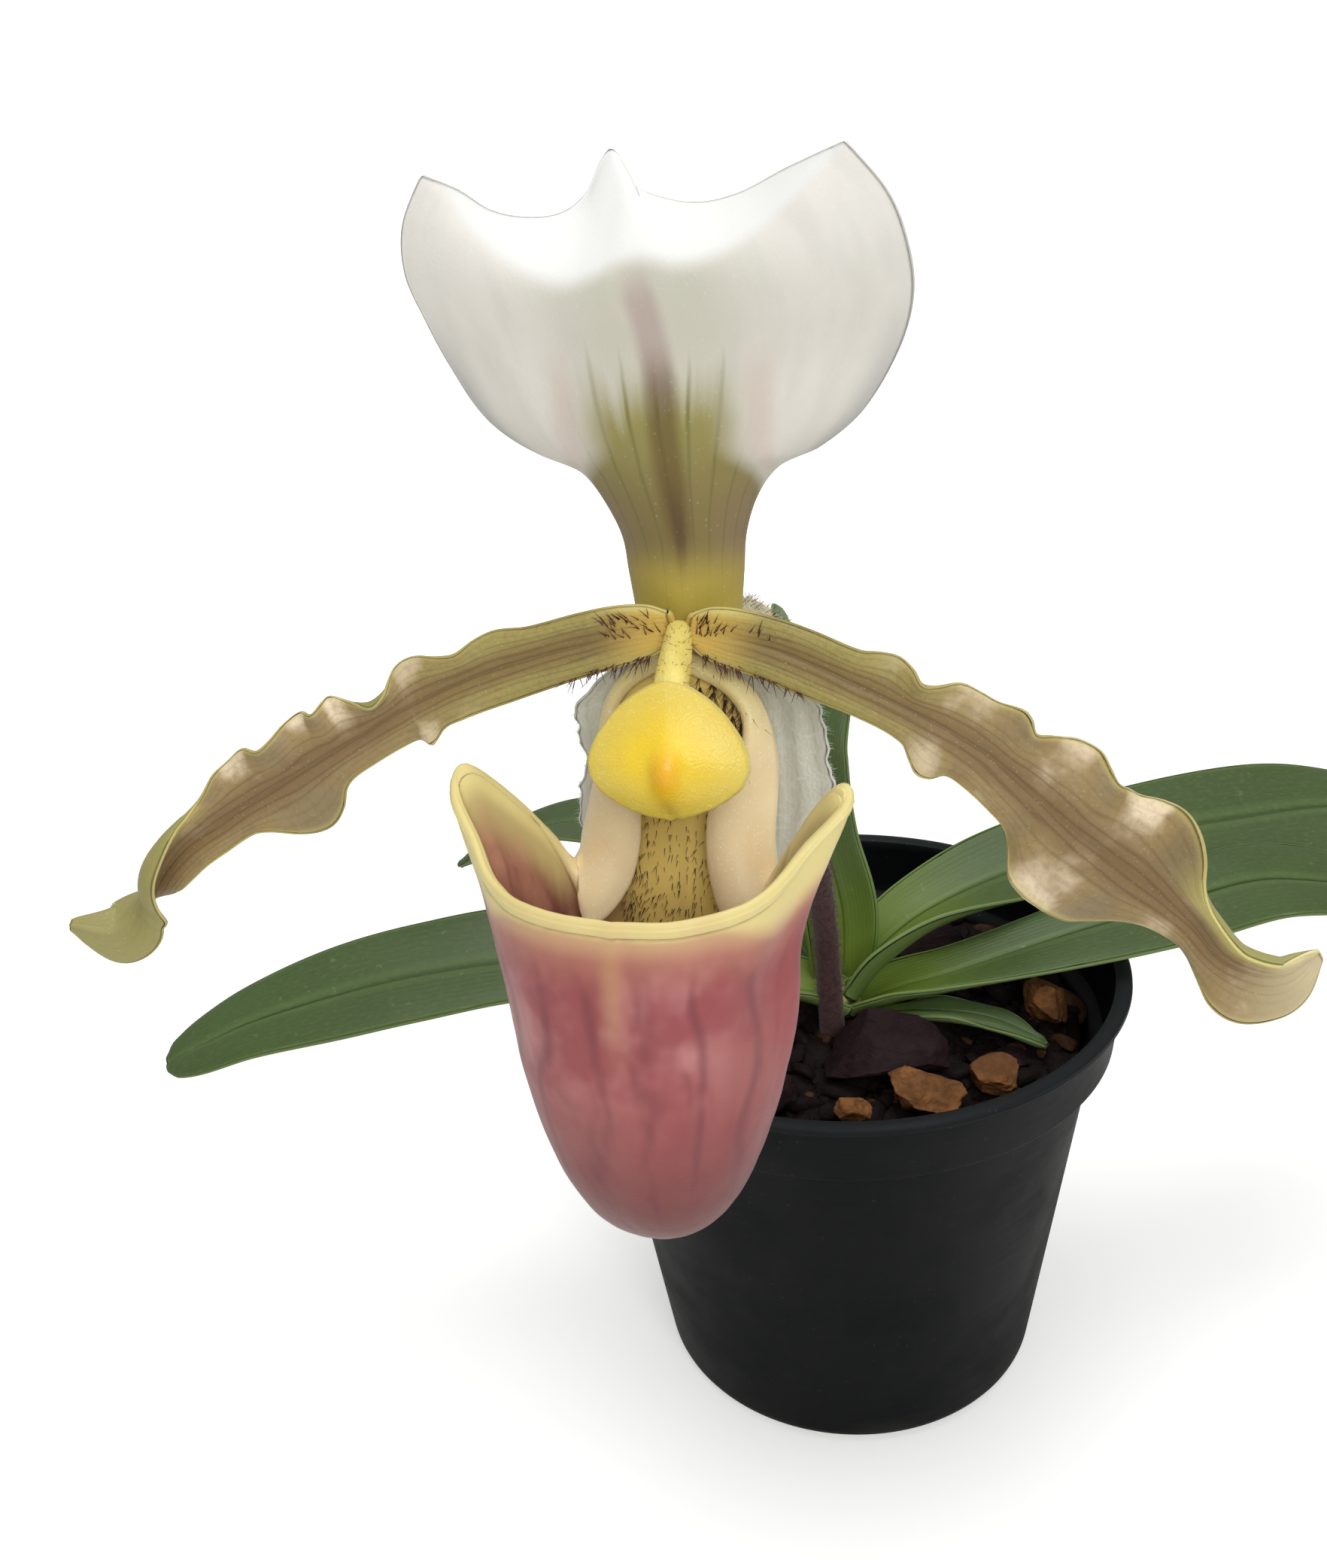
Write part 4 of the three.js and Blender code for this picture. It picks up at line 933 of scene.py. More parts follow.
def colours():
    settings = bpy.context.scene.orchid_colours
    return {key: tuple(getattr(settings, key)) for key in OrchidColours.__annotations__}


def dorsal_material(tint_of):
    material, tree, place = new_material("white_sepal_skin")
    across, reach, length = sheet_place(tree)
    middle = times(rise(reach, 0.62, 0.15), rise(length, 0.35, 0.5))
    # Painted shade: grey on the lower lobe margins, where they roll away from the light
    under = times(rise(reach, 0.84, 1.0), rise(length, 0.30, 0.38), rise(length, 0.74, 0.5))
    # The green foot: how far across it reaches, and its feathered top
    spread = maths("SUBTRACT", rise(length, 0.16, 0.42, 1.35, 0.48),
                   rise(length, 0.40, 0.54, 0.0, 0.08))
    outside = maths("SUBTRACT", reach, spread)
    pink = times(rise(outside, -0.06, 0.03), rise(outside, 0.16, 0.05), rise(length, 0.16, 0.26),
                 rise(length, 0.66, 0.5))
    vein = veins(maths("ADD", across, 0.072), length, 6.9, 0.13, 0.16, 1.0)
    broken = noise(joined(times(across, 9.0), length, 2.0), 1.4, 3.0)
    top = maths("ADD", maths("MULTIPLY_ADD", broken, 0.16, 0.46), times(vein, 0.04))
    green = times(rise(maths("SUBTRACT", length, top), -0.10, 0.05, 1.0, 0.0),
                  rise(outside, -0.26, 0.06, 1.0, 0.0))
    sides = times(rise(reach, 0.2, 0.55), rise(length, 0.36, 0.2))
    olive = painted(tint_of["sepal_green"],
                    (rise(length, 0.5, 0.2), 1, srgb(128, 110, 52)),
                    (sides, 0.6, srgb(142, 116, 84)),
                    (vein, 0.5, srgb(100, 98, 30)))
    # The stripe up its middle: mauve above, brown below
    centre = rise(length, 0.5, 0.8, 0.02, -0.035)
    off = maths("ABSOLUTE", maths("SUBTRACT", across, centre))
    stripe = rise(maths("DIVIDE", off, rise(length, 0.15, 0.6, 0.16, 0.095)), 0.3, 1.0, 1.0, 0.0)
    mauve = times(stripe, rise(length, 0.80, 0.70), rise(length, 0.46, 0.56))
    brown = times(stripe, rise(length, 0.10, 0.24), rise(length, 0.64, 0.50))
    core = times(rise(off, 0.075, 0.02), rise(length, 0.06, 0.14), rise(length, 0.36, 0.2))
    cells, glint = skin_cells(place, 4200.0, 0.85)
    colour = painted(tint_of["sepal"],
                     (mottle(place, 110.0, 0.35, 0.7), 0.5, shade(tint_of["sepal"], 0.9)),
                     (rise(sheet_noise(across, length, 7.0, 3.0), 0.4, 0.75), 0.3,
                      srgb(204, 201, 194)),
                     (middle, 0.75, srgb(206, 204, 186)),
                     (under, 0.55, srgb(158, 160, 160)),
                     (pink, 0.4, srgb(212, 186, 174)),
                     (green, 0.95, olive),
                     (mauve, 0.7, srgb(186, 164, 158)),
                     (brown, 0.7, srgb(106, 86, 44)),
                     (core, 0.6, srgb(92, 64, 50)),
                     (rise(length, 0.19, 0.04), 0.8, srgb(206, 184, 76)),
                     # Painted highlight: the turned-back top band is painted whiter, where it faces up to
                     # the overhead light
                     (mark(tree, "turned"), 1, srgb(240, 240, 237)),
                     (rise(mark(tree, "facing"), 0.3, 0.05), 0.3, srgb(210, 212, 186)),
                     (glint, 0.12, (1.0, 1.0, 1.0)))
    sunk = times(vein, rise(length, 0.6, 0.4), -0.4)
    return finish_material(material, colour, 0.6, maths("ADD", sunk, times(cells, 0.35)), 0.06 * MM,
                           subsurface=0.12, glow=(1.0, 0.9, 0.75), sheen=0.05, specular=0.3)


def petal_material(tint_of):
    material, tree, place = new_material("petal_skin")
    across, reach, length = sheet_place(tree)
    blotch = mottle(place, 260.0, 0.38, 0.66)
    # tilt is how far each place faces up, with blotches; below it sets painted highlight and painted shade
    tilt = maths("ADD", mark(tree, "raised"), maths("MULTIPLY_ADD", blotch, 0.3, -0.15))
    outer = rise(length, 0.2, 0.45)
    # A soft brown band along the middle, with a darker line in it
    ragged = sheet_noise(across, length, 2.0, 9.0, 2.0, 2.0)
    inner = maths("ADD", maths("DIVIDE", reach, rise(length, 0.05, 0.5, 0.66, 0.5)),
                  maths("MULTIPLY_ADD", ragged, 0.5, -0.25))
    midline = times(rise(inner, 0.4, 1.15, 1.0, 0.0), rise(length, 0.97, 0.8))
    core = times(rise(inner, 0.0, 0.42, 1.0, 0.0), rise(length, 0.9, 0.6), rise(length, 0.02, 0.2))
    threads = veins(across, length, 5.5, 0.26, 1.5, 9.0, bends=6.0)
    near = rise(inner, 0.5, 1.5, 0.5, 0.12)
    edge = times(rise(reach, 0.90, 1.0), rise(length, 0.12, 0.4))
    collar = times(rise(reach, 0.72, 0.96), rise(length, 0.1, 0.03))
    cells, glint = skin_cells(place, 5200.0, 0.8)
    brown = tint_of["petal_brown"]
    colour = painted(srgb(172, 158, 92),
                     (outer, 1, tint_of["petal"]),
                     # Painted highlight and painted shade: paler where the petal faces up, darker where it
                     # faces down
                     (times(rise(tilt, 0.5, 0.1), outer), 0.7, srgb(146, 130, 96)),
                     (times(rise(tilt, 0.52, 0.9), outer), 0.9, tint_of["petal_pale"]),
                     (midline, 0.62, brown),
                     (core, 0.3, shade(brown, 0.5)),
                     (times(threads, near), 1, shade(brown, 0.62)),
                     (rise(noise(place, 2600.0, 3.0, 0.6), 0.42, 0.68), 0.2, srgb(112, 96, 64)),
                     (edge, 0.5, tint_of["margin"]),
                     (mark(tree, "yellowing"), 1, srgb(232, 220, 136)),
                     (rise(length, 0.86, 0.98), 0.55, srgb(240, 226, 186)),
                     (rise(length, 0.10, 0.01), 0.85, srgb(232, 196, 96)),
                     (collar, 0.7, srgb(222, 212, 138)),
                     (rise(mark(tree, "facing"), 0.3, 0.05), 0.8, srgb(146, 142, 80)),
                     (glint, 0.16, srgb(246, 230, 196)))
    height = maths("ADD", times(cells, 0.5), times(threads, -0.3))
    return finish_material(material, colour, rise(blotch, 0.0, 1.0, 0.52, 0.44), height, 0.08 * MM,
                           subsurface=0.08, glow=(1.0, 0.7, 0.3), sheen=0.05, specular=0.35)


def lip_material(tint_of):
    material, tree, place = new_material("slipper_skin")
    across, reach, _ = sheet_place(tree)
    level, lapel, ear, wall, crown = (
        mark(tree, name) for name in ("rise", "lapel", "ear", "wall", "crown"))
    clouds = mottle(place, 150.0, 0.36, 0.68)
    # Painted highlight: paler pink patches high on the front of the slipper
    front_highlight_paint = times(rise(level, 0.60, 0.80), rise(reach, 0.34, 0.16), clouds)
    # Two sets of wandering veins, broken up and faded at the toe, the rim and the back
    gaps = rise(noise(place, 190.0), 0.36, 0.56)
    skin_only = times(rise(level, 0.1, 0.35), rise(level, 0.975, 0.88), rise(wall, 0.6, 0.1))
    streaks = veins(across, level, 7.5, 0.2, 2.0, 2.0, bends=2.2)
    threads = veins(across, level, 12.0, 0.26, 3.4, 7.0, bends=2.8)
    # How the rose fades to yellow towards the rim
    fade_from = maths("MULTIPLY_ADD", ear, -0.045, 0.993)
    uneven = maths("MULTIPLY_ADD", noise(place, 240.0), 0.016, -0.008)
    near_rim = maths("ADD", maths("SUBTRACT", level, fade_from), uneven)
    soft = maths("MULTIPLY_ADD", ear, -0.06, -0.01)
    outside = painted(tint_of["rose"],
                      (clouds, 0.5, srgb(188, 120, 112)),
                      (mottle(place, 75.0, 0.4, 0.7), 0.45, srgb(142, 72, 74)),
                      # Painted shade: darker towards the toe, away from the overhead light
                      (rise(level, 0.72, 0.25), 0.9, srgb(106, 56, 52)),
                      (front_highlight_paint, 0.8, srgb(212, 146, 146)),
                      (times(streaks, gaps, skin_only), 0.55, srgb(116, 54, 60)),
                      (times(threads, maths("SUBTRACT", 1.2, gaps), skin_only), 0.34,
                       srgb(124, 64, 66)),
                      (times(rise(reach, 0.04, 0.0), rise(level, 0.70, 0.98)), 0.6,
                       srgb(206, 164, 112)),
                      (rise(near_rim, -0.12, 0.0), 0.75, srgb(196, 138, 112)),
                      (rise(near_rim, -0.05, 0.0), 0.65, srgb(222, 186, 136)),
                      (rise(near_rim, soft, 0.012), 1, tint_of["rim"]))
    # Inside, mauve streaks run up to a yellow edge, and the back wall is olive
    inside = rise(mark(tree, "facing"), 0.6, 0.4)
    speckled = mottle(place, 420.0, 0.4, 0.62)
    runs = sheet_noise(across, level, 26.0, 5.0)
    upper = maths("MULTIPLY_ADD", runs, 0.12, maths("SUBTRACT", level, 0.06))
    hollow = painted(srgb(196, 140, 114),
                     (rise(runs, 0.38, 0.62), 1, srgb(150, 90, 82)),
                     (speckled, 0.25, srgb(124, 70, 62)),
                     (rise(upper, 0.88, 0.985), 0.9, srgb(216, 198, 132)),
                     (rise(level, 0.965, 0.995), 1, srgb(240, 222, 150)))
    olive = painted(srgb(200, 172, 106),
                    (speckled, 0.3, srgb(170, 140, 84)),
                    (rise(level, 0.62, 0.40), 0.6, srgb(176, 136, 108)),
                    (crown, 0.8, srgb(250, 222, 126)))
    back_wall = times(wall, maths("SUBTRACT", 1.0, inside), rise(level, 0.5, 0.8))
    cells, glint = skin_cells(place, 4800.0, 0.45)
    peach = painted(tint_of["lapel"],
                    (clouds, 0.35, srgb(246, 208, 154)),
                    (crown, 0.7, srgb(228, 214, 140)),
                    (glint, 0.85, srgb(255, 252, 240)))
    colour = painted(outside,
                     (inside, 1, hollow),
                     (times(wall, inside), 1, olive),
                     (back_wall, 0.7, srgb(214, 180, 134)),
                     (lapel, 1, peach))
    height = maths("ADD", times(cells, 0.35), times(streaks, -0.3))
    return finish_material(material, colour, rise(clouds, 0.0, 1.0, 0.46, 0.38), height, 0.06 * MM,
                           subsurface=0.12, glow=(1.0, 0.45, 0.3), coat=0.06, sheen=0.08,
                           specular=0.35)


def staminode_material(tint_of):
    material, tree, place = new_material("staminode_skin")
    reach = mark(tree, "reach")
    cells, glint = skin_cells(place, 6000.0, 0.5)
    colour = painted(tint_of["staminode"],
                     (rise(reach, 0.3, 0.9), 1, srgb(238, 212, 92)),
                     (rise(reach, 0.93, 1.0), 0.6, srgb(236, 222, 150)),
                     (mark(tree, "boss"), 0.95, srgb(255, 186, 28)),
                     (times(glint, rise(reach, 0.25, 0.9, 0.15, 0.7)), 1, srgb(255, 246, 184)),
                     (mottle(place, 420.0, 0.4, 0.7), 0.25, srgb(230, 190, 58)))
    return finish_material(material, colour, 0.38, cells, subsurface=0.2, glow=(1.0, 0.7, 0.1),
                           coat=0.15)


def column_material(name, base):
    material, _, place = new_material(name)
    cells, glint = skin_cells(place, 4200.0, 0.6)
    colour = painted(base,
                     (mottle(place, 600.0, 0.45, 0.7), 0.4, shade(base, 0.75)),
                     (glint, 0.5, srgb(255, 246, 200)))
    return finish_material(material, colour, 0.45, cells, 0.08 * MM, 0.6, subsurface=0.2,
                           glow=(1.0, 0.7, 0.2))


def synsepal_material(tint_of):
    material, tree, place = new_material("lower_sepal_skin")
    across, reach, length = sheet_place(tree)
    fibres = noise(place, 900.0, 4.0, 0.7, 1.5)
    colour = painted(tint_of["lower_sepal"],
                     (veins(across, length, 6.0, 0.16, 0.5, 4.0), 0.2, srgb(160, 168, 136)),
                     (veins(across, length, 26.0, 0.3, 3.4, 8.0, bends=14.0), 0.35,
                      srgb(226, 228, 224)),
                     (rise(fibres, 0.5, 0.62), 0.5, srgb(232, 234, 230)),
                     (times(rise(length, 0.5, 0.0), rise(reach, 0.7, 0.2)), 0.7,
                      srgb(184, 182, 122)),
                     (rise(reach, 0.95, 1.0), 0.5, srgb(228, 230, 224)))
    cells, _ = skin_cells(place, 4000.0, 0.7)
    return finish_material(material, colour, 0.5, maths("ADD", times(cells, 0.5), fibres), 0.10 * MM,
                           0.6, subsurface=0.2, glow=(1.0, 1.0, 0.9))


def leaf_material(name, green, young, young_to):
    """A leaf's skin, with young tissue from its base to the place young_to."""
    material, tree, place = new_material(name)
    across, reach, length = sheet_place(tree)
    lines = veins(across, length, 9.0, 0.3, 0.12, 1.0)
    squares = sheet_noise(across, length, 22.0, 90.0, detail=2.0)
    colour = painted(green,
                     (mottle(place, 60.0, 0.3, 0.7), 0.5, shade(green, 0.72)),
                     (lines, 0.14, shade(green, 0.55)),
                     (rise(squares, 0.45, 0.75), 0.22, srgb(104, 132, 74)),
                     (rise(reach, 0.0, 0.07, 1.0, 0.0), 0.4, shade(green, 0.5)),
                     (times(rise(reach, 0.05, 0.10), rise(reach, 0.24, 0.12)), 0.2,
                      srgb(116, 142, 84)),
                     (rise(length, young_to, 0.02), 0.9, young),
                     (rise(reach, 0.92, 1.0), 0.45, srgb(126, 148, 84)),
                     (rise(mark(tree, "facing"), 0.6, 0.4), 0.6, srgb(112, 134, 84)),
                     (mottle(place, 800.0, 0.66, 0.72), 0.2, srgb(150, 160, 108)))
    height = maths("ADD", times(lines, 0.5), times(squares, 0.5))
    return finish_material(material, colour, rise(squares, 0.3, 0.7, 0.42, 0.5), height, 0.06 * MM,
                           coat=0.05, subsurface=0.03, glow=(0.5, 1.0, 0.2), specular=0.35)


def stem_material(name, colour, dark, coarse=1400.0):
    material, _, place = new_material(name)
    fleck = mottle(place, coarse, 0.42, 0.62)
    mixed = painted(colour,
                    (fleck, 0.6, dark),
                    (mottle(place, 120.0, 0.35, 0.7), 0.3, shade(colour, 1.5)))
    return finish_material(material, mixed, 0.6, fleck, 0.08 * MM, 0.6, subsurface=0.05, sheen=0.2)


def hair_material(name, colour):
    material, _, place = new_material(name)
    drift = mottle(place, 900.0, 0.35, 0.65)
    return finish_material(material, painted(colour, (drift, 0.5, shade(colour, 1.9))), 0.5)


def pot_material(tint_of):
    material, _, place = new_material("pot_plastic")
    high = put("ShaderNodeSeparateXYZ", {"Vector": place}).outputs["Z"]
    dust = mottle(place, 70.0, 0.35, 0.75)
    specks = mottle(place, 1500.0, 0.68, 0.74)
    scuffs = noise(stretched(place, (1.0, 1.0, 14.0)), 160.0, 4.0, 0.6)
    # Painted highlight: the top of the rolled rim is painted lighter
    rim = rise(high, (POT_HEIGHT - 1.6) * MM, (POT_HEIGHT - 0.1) * MM)
    colour = painted(tint_of["pot"],
                     (dust, 0.35, shade(tint_of["pot"], 1.7)),
                     (rim, 0.3, srgb(52, 56, 58)),
                     (specks, 0.2, srgb(92, 88, 82)),
                     (times(rise(high, 5 * MM, 0.0), dust), 0.4, srgb(84, 80, 74)))
    rough = maths("ADD", rise(dust, 0.0, 1.0, 0.38, 0.5), times(scuffs, 0.12))
    height = maths("ADD", times(scuffs, 0.5), times(specks, 0.6))
    return finish_material(material, colour, rough, height, 0.04 * MM, 0.35, specular=0.1)


def bark_material(name, skin, heart):
    material, _, place = new_material(name)
    fibres = noise(stretched(place, (1.0, 1.0, 4.0)), 520.0, 5.0, 0.65, 0.6)
    blots = mottle(place, 190.0, 0.35, 0.65)
    pits = noise(place, 1700.0, 3.0, 0.6)
    colour = painted(shade(skin, 0.6),
                     (rise(fibres, 0.36, 0.62), 1, skin),
                     (blots, 0.7, heart),
                     (rise(pits, 0.55, 0.72), 0.5, shade(skin, 0.35)))
    height = maths("ADD", fibres, times(pits, 0.5))
    return finish_material(material, colour, rise(blots, 0.0, 1.0, 0.85, 0.62), height, 0.5 * MM,
                           0.6, specular=0.12)


def floor_material(tint_of):
    """Pale paper that looks lighter to the camera the further it lies from the pot."""
    material, tree, place = new_material("backdrop_paper")
    base = tint_of["floor"]
    colour = painted(base, (rise(noise(place, 900.0), 0.3, 0.7), 0.02, shade(base, 0.9)))
    seen = put("ShaderNodeLightPath", {}, tree).outputs["Is Camera Ray"]
    far = put("ShaderNodeVectorMath", {"Vector": place}, operation="LENGTH").outputs["Value"]
    light = times(seen, rise(far, 0.12, 0.45, 0.40, 1.0))
    return finish_material(material, colour, 0.9, specular=0.1, light=light)


# Pieces

def spun(profile, sides):
    """Rings of points: each radius and height of a profile, carried round the pot's axis."""
    angle = np.linspace(0, 2 * math.pi, sides, endpoint=False)
    radius, height = np.array(profile).T[..., None]
    return np.stack([radius * np.cos(angle), radius * np.sin(angle), height + 0 * angle], -1)


def pot_profile():
    """The pot's outline from its underside up the outside and down the inside."""
    flat = POT_BASE - POT_CORNER
    outline = [(flat * share, 0.0) for share in (0.15, 0.3, 0.96)]
    outline += [(flat + POT_CORNER * math.cos(turn), POT_CORNER + POT_CORNER * math.sin(turn))
                for turn in np.radians(np.linspace(-90, -6, 9))]
    shoulder, rim = (POT_SHOULDER, POT_SHOULDER_HEIGHT), (POT_RIM, POT_HEIGHT)
    for (radius, height), steps in (
            (shoulder, POT_COLLAR_OUTSIDE), (rim, POT_ROLLED_RIM), (shoulder, POT_COLLAR_INSIDE)):
        outline += [(radius + out, height + up) for out, up in steps]
    outline += [(POT_BASE - POT_WALL, POT_CORNER + 0.6), (flat, POT_WALL)]
    return outline + [(flat * share, POT_WALL) for share in (0.8, 0.3)]


def room_inside_pot(height):
    """Radius of what fills the pot at a height."""
    flare = (POT_SHOULDER - POT_BASE) / POT_SHOULDER_HEIGHT
    return POT_BASE + flare * height - POT_WALL - MIX_GAP


class ORCHID_OT_nursery_pot(bpy.types.Operator):
    """Builds the moulded pot with its stepped collar and drainage holes"""
    bl_idname = "orchid.nursery_pot"
    bl_label = "Nursery pot"

    def execute(self, context):
        points = spun(pot_profile(), POT_SIDES)
        pot = mesh_piece("nursery_pot_body", points.reshape(-1, 3),
                         ring_faces(len(points), POT_SIDES), pot_material(colours()))
        drills = []
        for k in range(DRAIN_COUNT):
            angle = 2 * math.pi * k / DRAIN_COUNT
            place = (DRAIN_CIRCLE * math.cos(angle) * MM, DRAIN_CIRCLE * math.sin(angle) * MM, 0)
            bpy.ops.mesh.primitive_cylinder_add(
                vertices=40, radius=DRAIN_RADIUS * MM, depth=4 * POT_WALL * MM, location=place)
            drills.append(bpy.context.object)
            cut = pot.modifiers.new(f"drain_{k}", "BOOLEAN")
            cut.object = drills[-1]
            cut.solver = "EXACT"
        graph = bpy.context.evaluated_depsgraph_get()
        drilled = bpy.data.meshes.new_from_object(pot.evaluated_get(graph))
        pot.modifiers.clear()
        pot.data = drilled
        for drill in drills:
            bpy.data.objects.remove(drill)
        pot.data.shade_smooth()
        pot.data.set_sharp_from_angle(angle=math.radians(40))
        settle(pot, "pot_plastic", "nursery_pot")
        return {"FINISHED"}


def lumpy(points, scale, seed):
    """A smooth random field at points, from a few turned sine waves."""
    random = np.random.default_rng(seed)
    field = np.zeros(points.shape[:-1])
    for octave in range(4):
        for _ in range(4):
            wave = random.normal(size=3) * scale * 1.9 ** octave
            phase = random.uniform(0, 2 * math.pi)
            field = field + np.sin(points @ wave + phase) / 1.7 ** octave
    return field / 6


def rounded_ball(levels):
    """Points and faces of a finely split icosahedron of radius 1."""
    bpy.ops.mesh.primitive_ico_sphere_add(subdivisions=levels, radius=1)
    ball = bpy.context.object
    points = np.empty(len(ball.data.vertices) * 3)
    ball.data.vertices.foreach_get("co", points)
    faces = [list(face.vertices) for face in ball.data.polygons]
    bpy.data.objects.remove(ball)
    return points.reshape(-1, 3), faces


def chunk(ball, seed, facets, rough):
    """A ball broken along flat planes and roughened, inside a box from -1 to 1."""
    random = np.random.default_rng(seed)
    points = ball * 1.25
    for _ in range(facets):
        normal = unit(random.normal(size=3))
        depth = random.uniform(0.62, 0.92)
        beyond = np.maximum(points @ normal - depth, 0)
        points = points - beyond[:, None] * normal
    points = points * (1 + rough * lumpy(ball, 3.0, seed + 50))[:, None]
    points += unit(ball) * (rough * 0.5 * lumpy(ball, 9.0, seed + 90))[:, None]
    low, high = points.min(0), points.max(0)
    return (points - (low + high) / 2) / ((high - low) / 2)


class ORCHID_OT_potting_mix(bpy.types.Operator):
    """Builds the bark mix and the crumbs on it"""
    bl_idname = "orchid.potting_mix"
    bl_label = "Potting mix"

    def execute(self, context):
        rings, sides = 44, 120
        outer = room_inside_pot(MIX_TOP)
        top = [(share ** 0.8 * outer, MIX_TOP) for share in np.linspace(0.02, 1, rings)]
        wall = [(room_inside_pot(height), height) for height in (44, 30, 15, 5, 2)]
        wall.append((POT_BASE - POT_CORNER - 1.5, POT_WALL + 0.2))
        points = spun(top + wall, sides)
        uneven = 0.9 * lumpy(points[:rings], 0.35, 4) + 0.5 * lumpy(points[:rings], 1.1, 5)
        points[:rings, :, 2] += uneven
        soil = bark_material("bark_mix", srgb(34, 25, 22), srgb(22, 16, 15))
        mix = mesh_piece("potting_mix_body", points.reshape(-1, 3),
                         ring_faces(len(points), sides, flipped=True), soil)
        settle(mix, "bark_mix", "potting_mix")
        self.crumbs(context.scene.orchid_sizes.crumbs, outer)
        return {"FINISHED"}

    def crumbs(self, count, outer):
        random = np.random.default_rng(12)
        ball, ball_faces = rounded_ball(2)
        shapes = [chunk(ball, 300 + k, 8, 0.05) for k in range(9)]
        kinds = {"dark": ([], []), "tan": ([], [])}
        for k in range(count):
            spot = outer * 0.98 * math.sqrt(random.uniform(0, 1))
            turn = random.uniform(0, 2 * math.pi)
            size = random.uniform(0.35, 1.5) * (1.0 if random.uniform() < 0.8 else 1.5)
            spin = turn_z(random.uniform(0, 360)) @ turn_x(random.uniform(-35, 35))
            body = shapes[k % len(shapes)] * (np.array(CRUMB_STRETCH) * size) @ spin.T
            body += [spot * math.cos(turn), spot * math.sin(turn),
                     MIX_TOP + 0.2 * size + random.uniform(-0.2, 0.3)]
            points, faces = kinds["tan" if random.uniform() < TAN_CRUMB_SHARE else "dark"]
            start = sum(len(block) for block in points)
            points.append(body)
            faces.extend([[start + corner for corner in face] for face in ball_faces])
        looks = {"dark": bark_material("crumb_dark", srgb(33, 23, 22), srgb(22, 15, 15)),
                 "tan": bark_material("crumb_tan", srgb(88, 60, 38), srgb(58, 39, 29))}
        for kind, (points, faces) in kinds.items():
            piece = mesh_piece(f"mix_crumbs_{kind}", np.vstack(points), faces, looks[kind])
            settle(piece, f"{kind}_bark")


class ORCHID_OT_bark_chips(bpy.types.Operator):
    """Builds each bark chip where its node lies"""
    bl_idname = "orchid.bark_chips"
    bl_label = "Bark chips"

    def execute(self, context):
        tint_of = colours()
        ball, faces = rounded_ball(5)
        slots = {row["node"]: row["material_slot"] for row in frame["record"]["subparts"]}
        looks = {"tan_bark": bark_material("bark_tan", tint_of["tan_bark"], srgb(92, 60, 38)),
                 "dark_bark": bark_material("bark_dark", tint_of["dark_bark"], srgb(44, 28, 30))}
        names = sorted(name for name in frame["nodes"] if name.startswith("bark_chip_"))
        for k, name in enumerate(names):
            low, high = (np.array(corner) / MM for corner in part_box(name))
            centre, half = (low + high) / 2, (high - low) / 2
            facets, rough = (14, 0.12) if slots[name] == "tan_bark" else (9 + k % 4, 0.08)
            shape = chunk(ball, 700 + k, facets, rough)
            layers = lumpy(shape * [0.4, 0.4, 3.0], 2.2, 40 + k)
            shape = shape * (1 + 0.06 * layers[:, None] * [1, 1, 0.3])
            points = centre + shape * half * CHIP_STRETCH - [0, 0, CHIP_SINK]
            piece = mesh_piece(f"{name}_bark", points, faces, looks[slots[name]])
            piece.data.set_sharp_from_angle(angle=math.radians(50))
            settle(piece, slots[name], name)
        return {"FINISHED"}


def leaf_shape(name):
    """Waves of a leaf's margins, and the crease of its midrib."""
    phase = sum(ord(letter) for letter in name)

    def shape(s, t, wide):
        reach = np.abs(s)
        wave = np.sin(2 * math.pi * (2.2 * t + 0.13 * phase) + np.where(s > 0, 0, 1.3))
        crease = -0.35 * np.exp(-(reach / 0.07) ** 2)
        body = 0.18 * np.sin(math.pi * reach)
        return wide + 0.12 * wave * reach ** 2, 0.22 * wave * reach ** 3 + crease + body, 0
    return shape


def level_side(rows):
    """The level direction square to a leaf's run from its base to its tip."""
    (_, x, y, *_), (_, tip_x, tip_y, *_) = rows[0], rows[-1]
    return (tip_y - y, -(tip_x - x), 0)


class ORCHID_OT_leaves(bpy.types.Operator):
    """Builds the fan of leaves and the rhizome they rise from"""
    bl_idname = "orchid.leaves"
    bl_label = "Leaves"

    def execute(self, context):
        sizes, tint_of = context.scene.orchid_sizes, colours()
        greens = tint_of["leaf"], tint_of["young_leaf"]
        grown = leaf_material("leaf_skin", *greens, 0.26)
        young = leaf_material("young_leaf_skin", *greens, 0.62)
        for name, rows in LEAVES.items():
            upright = name == "leaf_upright"
            side = (1, 0, 0) if upright else level_side(rows)
            count = 90 if name == "leaf_small" else 170
            grid = blade_grid(rows, side, 41, count, leaf_shape(name))
            piece = sheet(f"{name}_blade", grid, sizes.leaf_thickness / MM,
                          young if upright else grown, thin_edge=0.35)
            settle(piece, "young_leaf" if upright else "leaf", name)
        ball, faces = rounded_ball(5)
        points = ball * (1 + 0.05 * lumpy(ball, 3.0, 8))[:, None] * RHIZOME_RADII + RHIZOME_PLACE
        skin = stem_material("rhizome_skin", srgb(150, 150, 84), srgb(104, 92, 52), 900.0)
        settle(mesh_piece("rhizome_knob", points, faces, skin), "young_leaf", "rhizome")
        return {"FINISHED"}


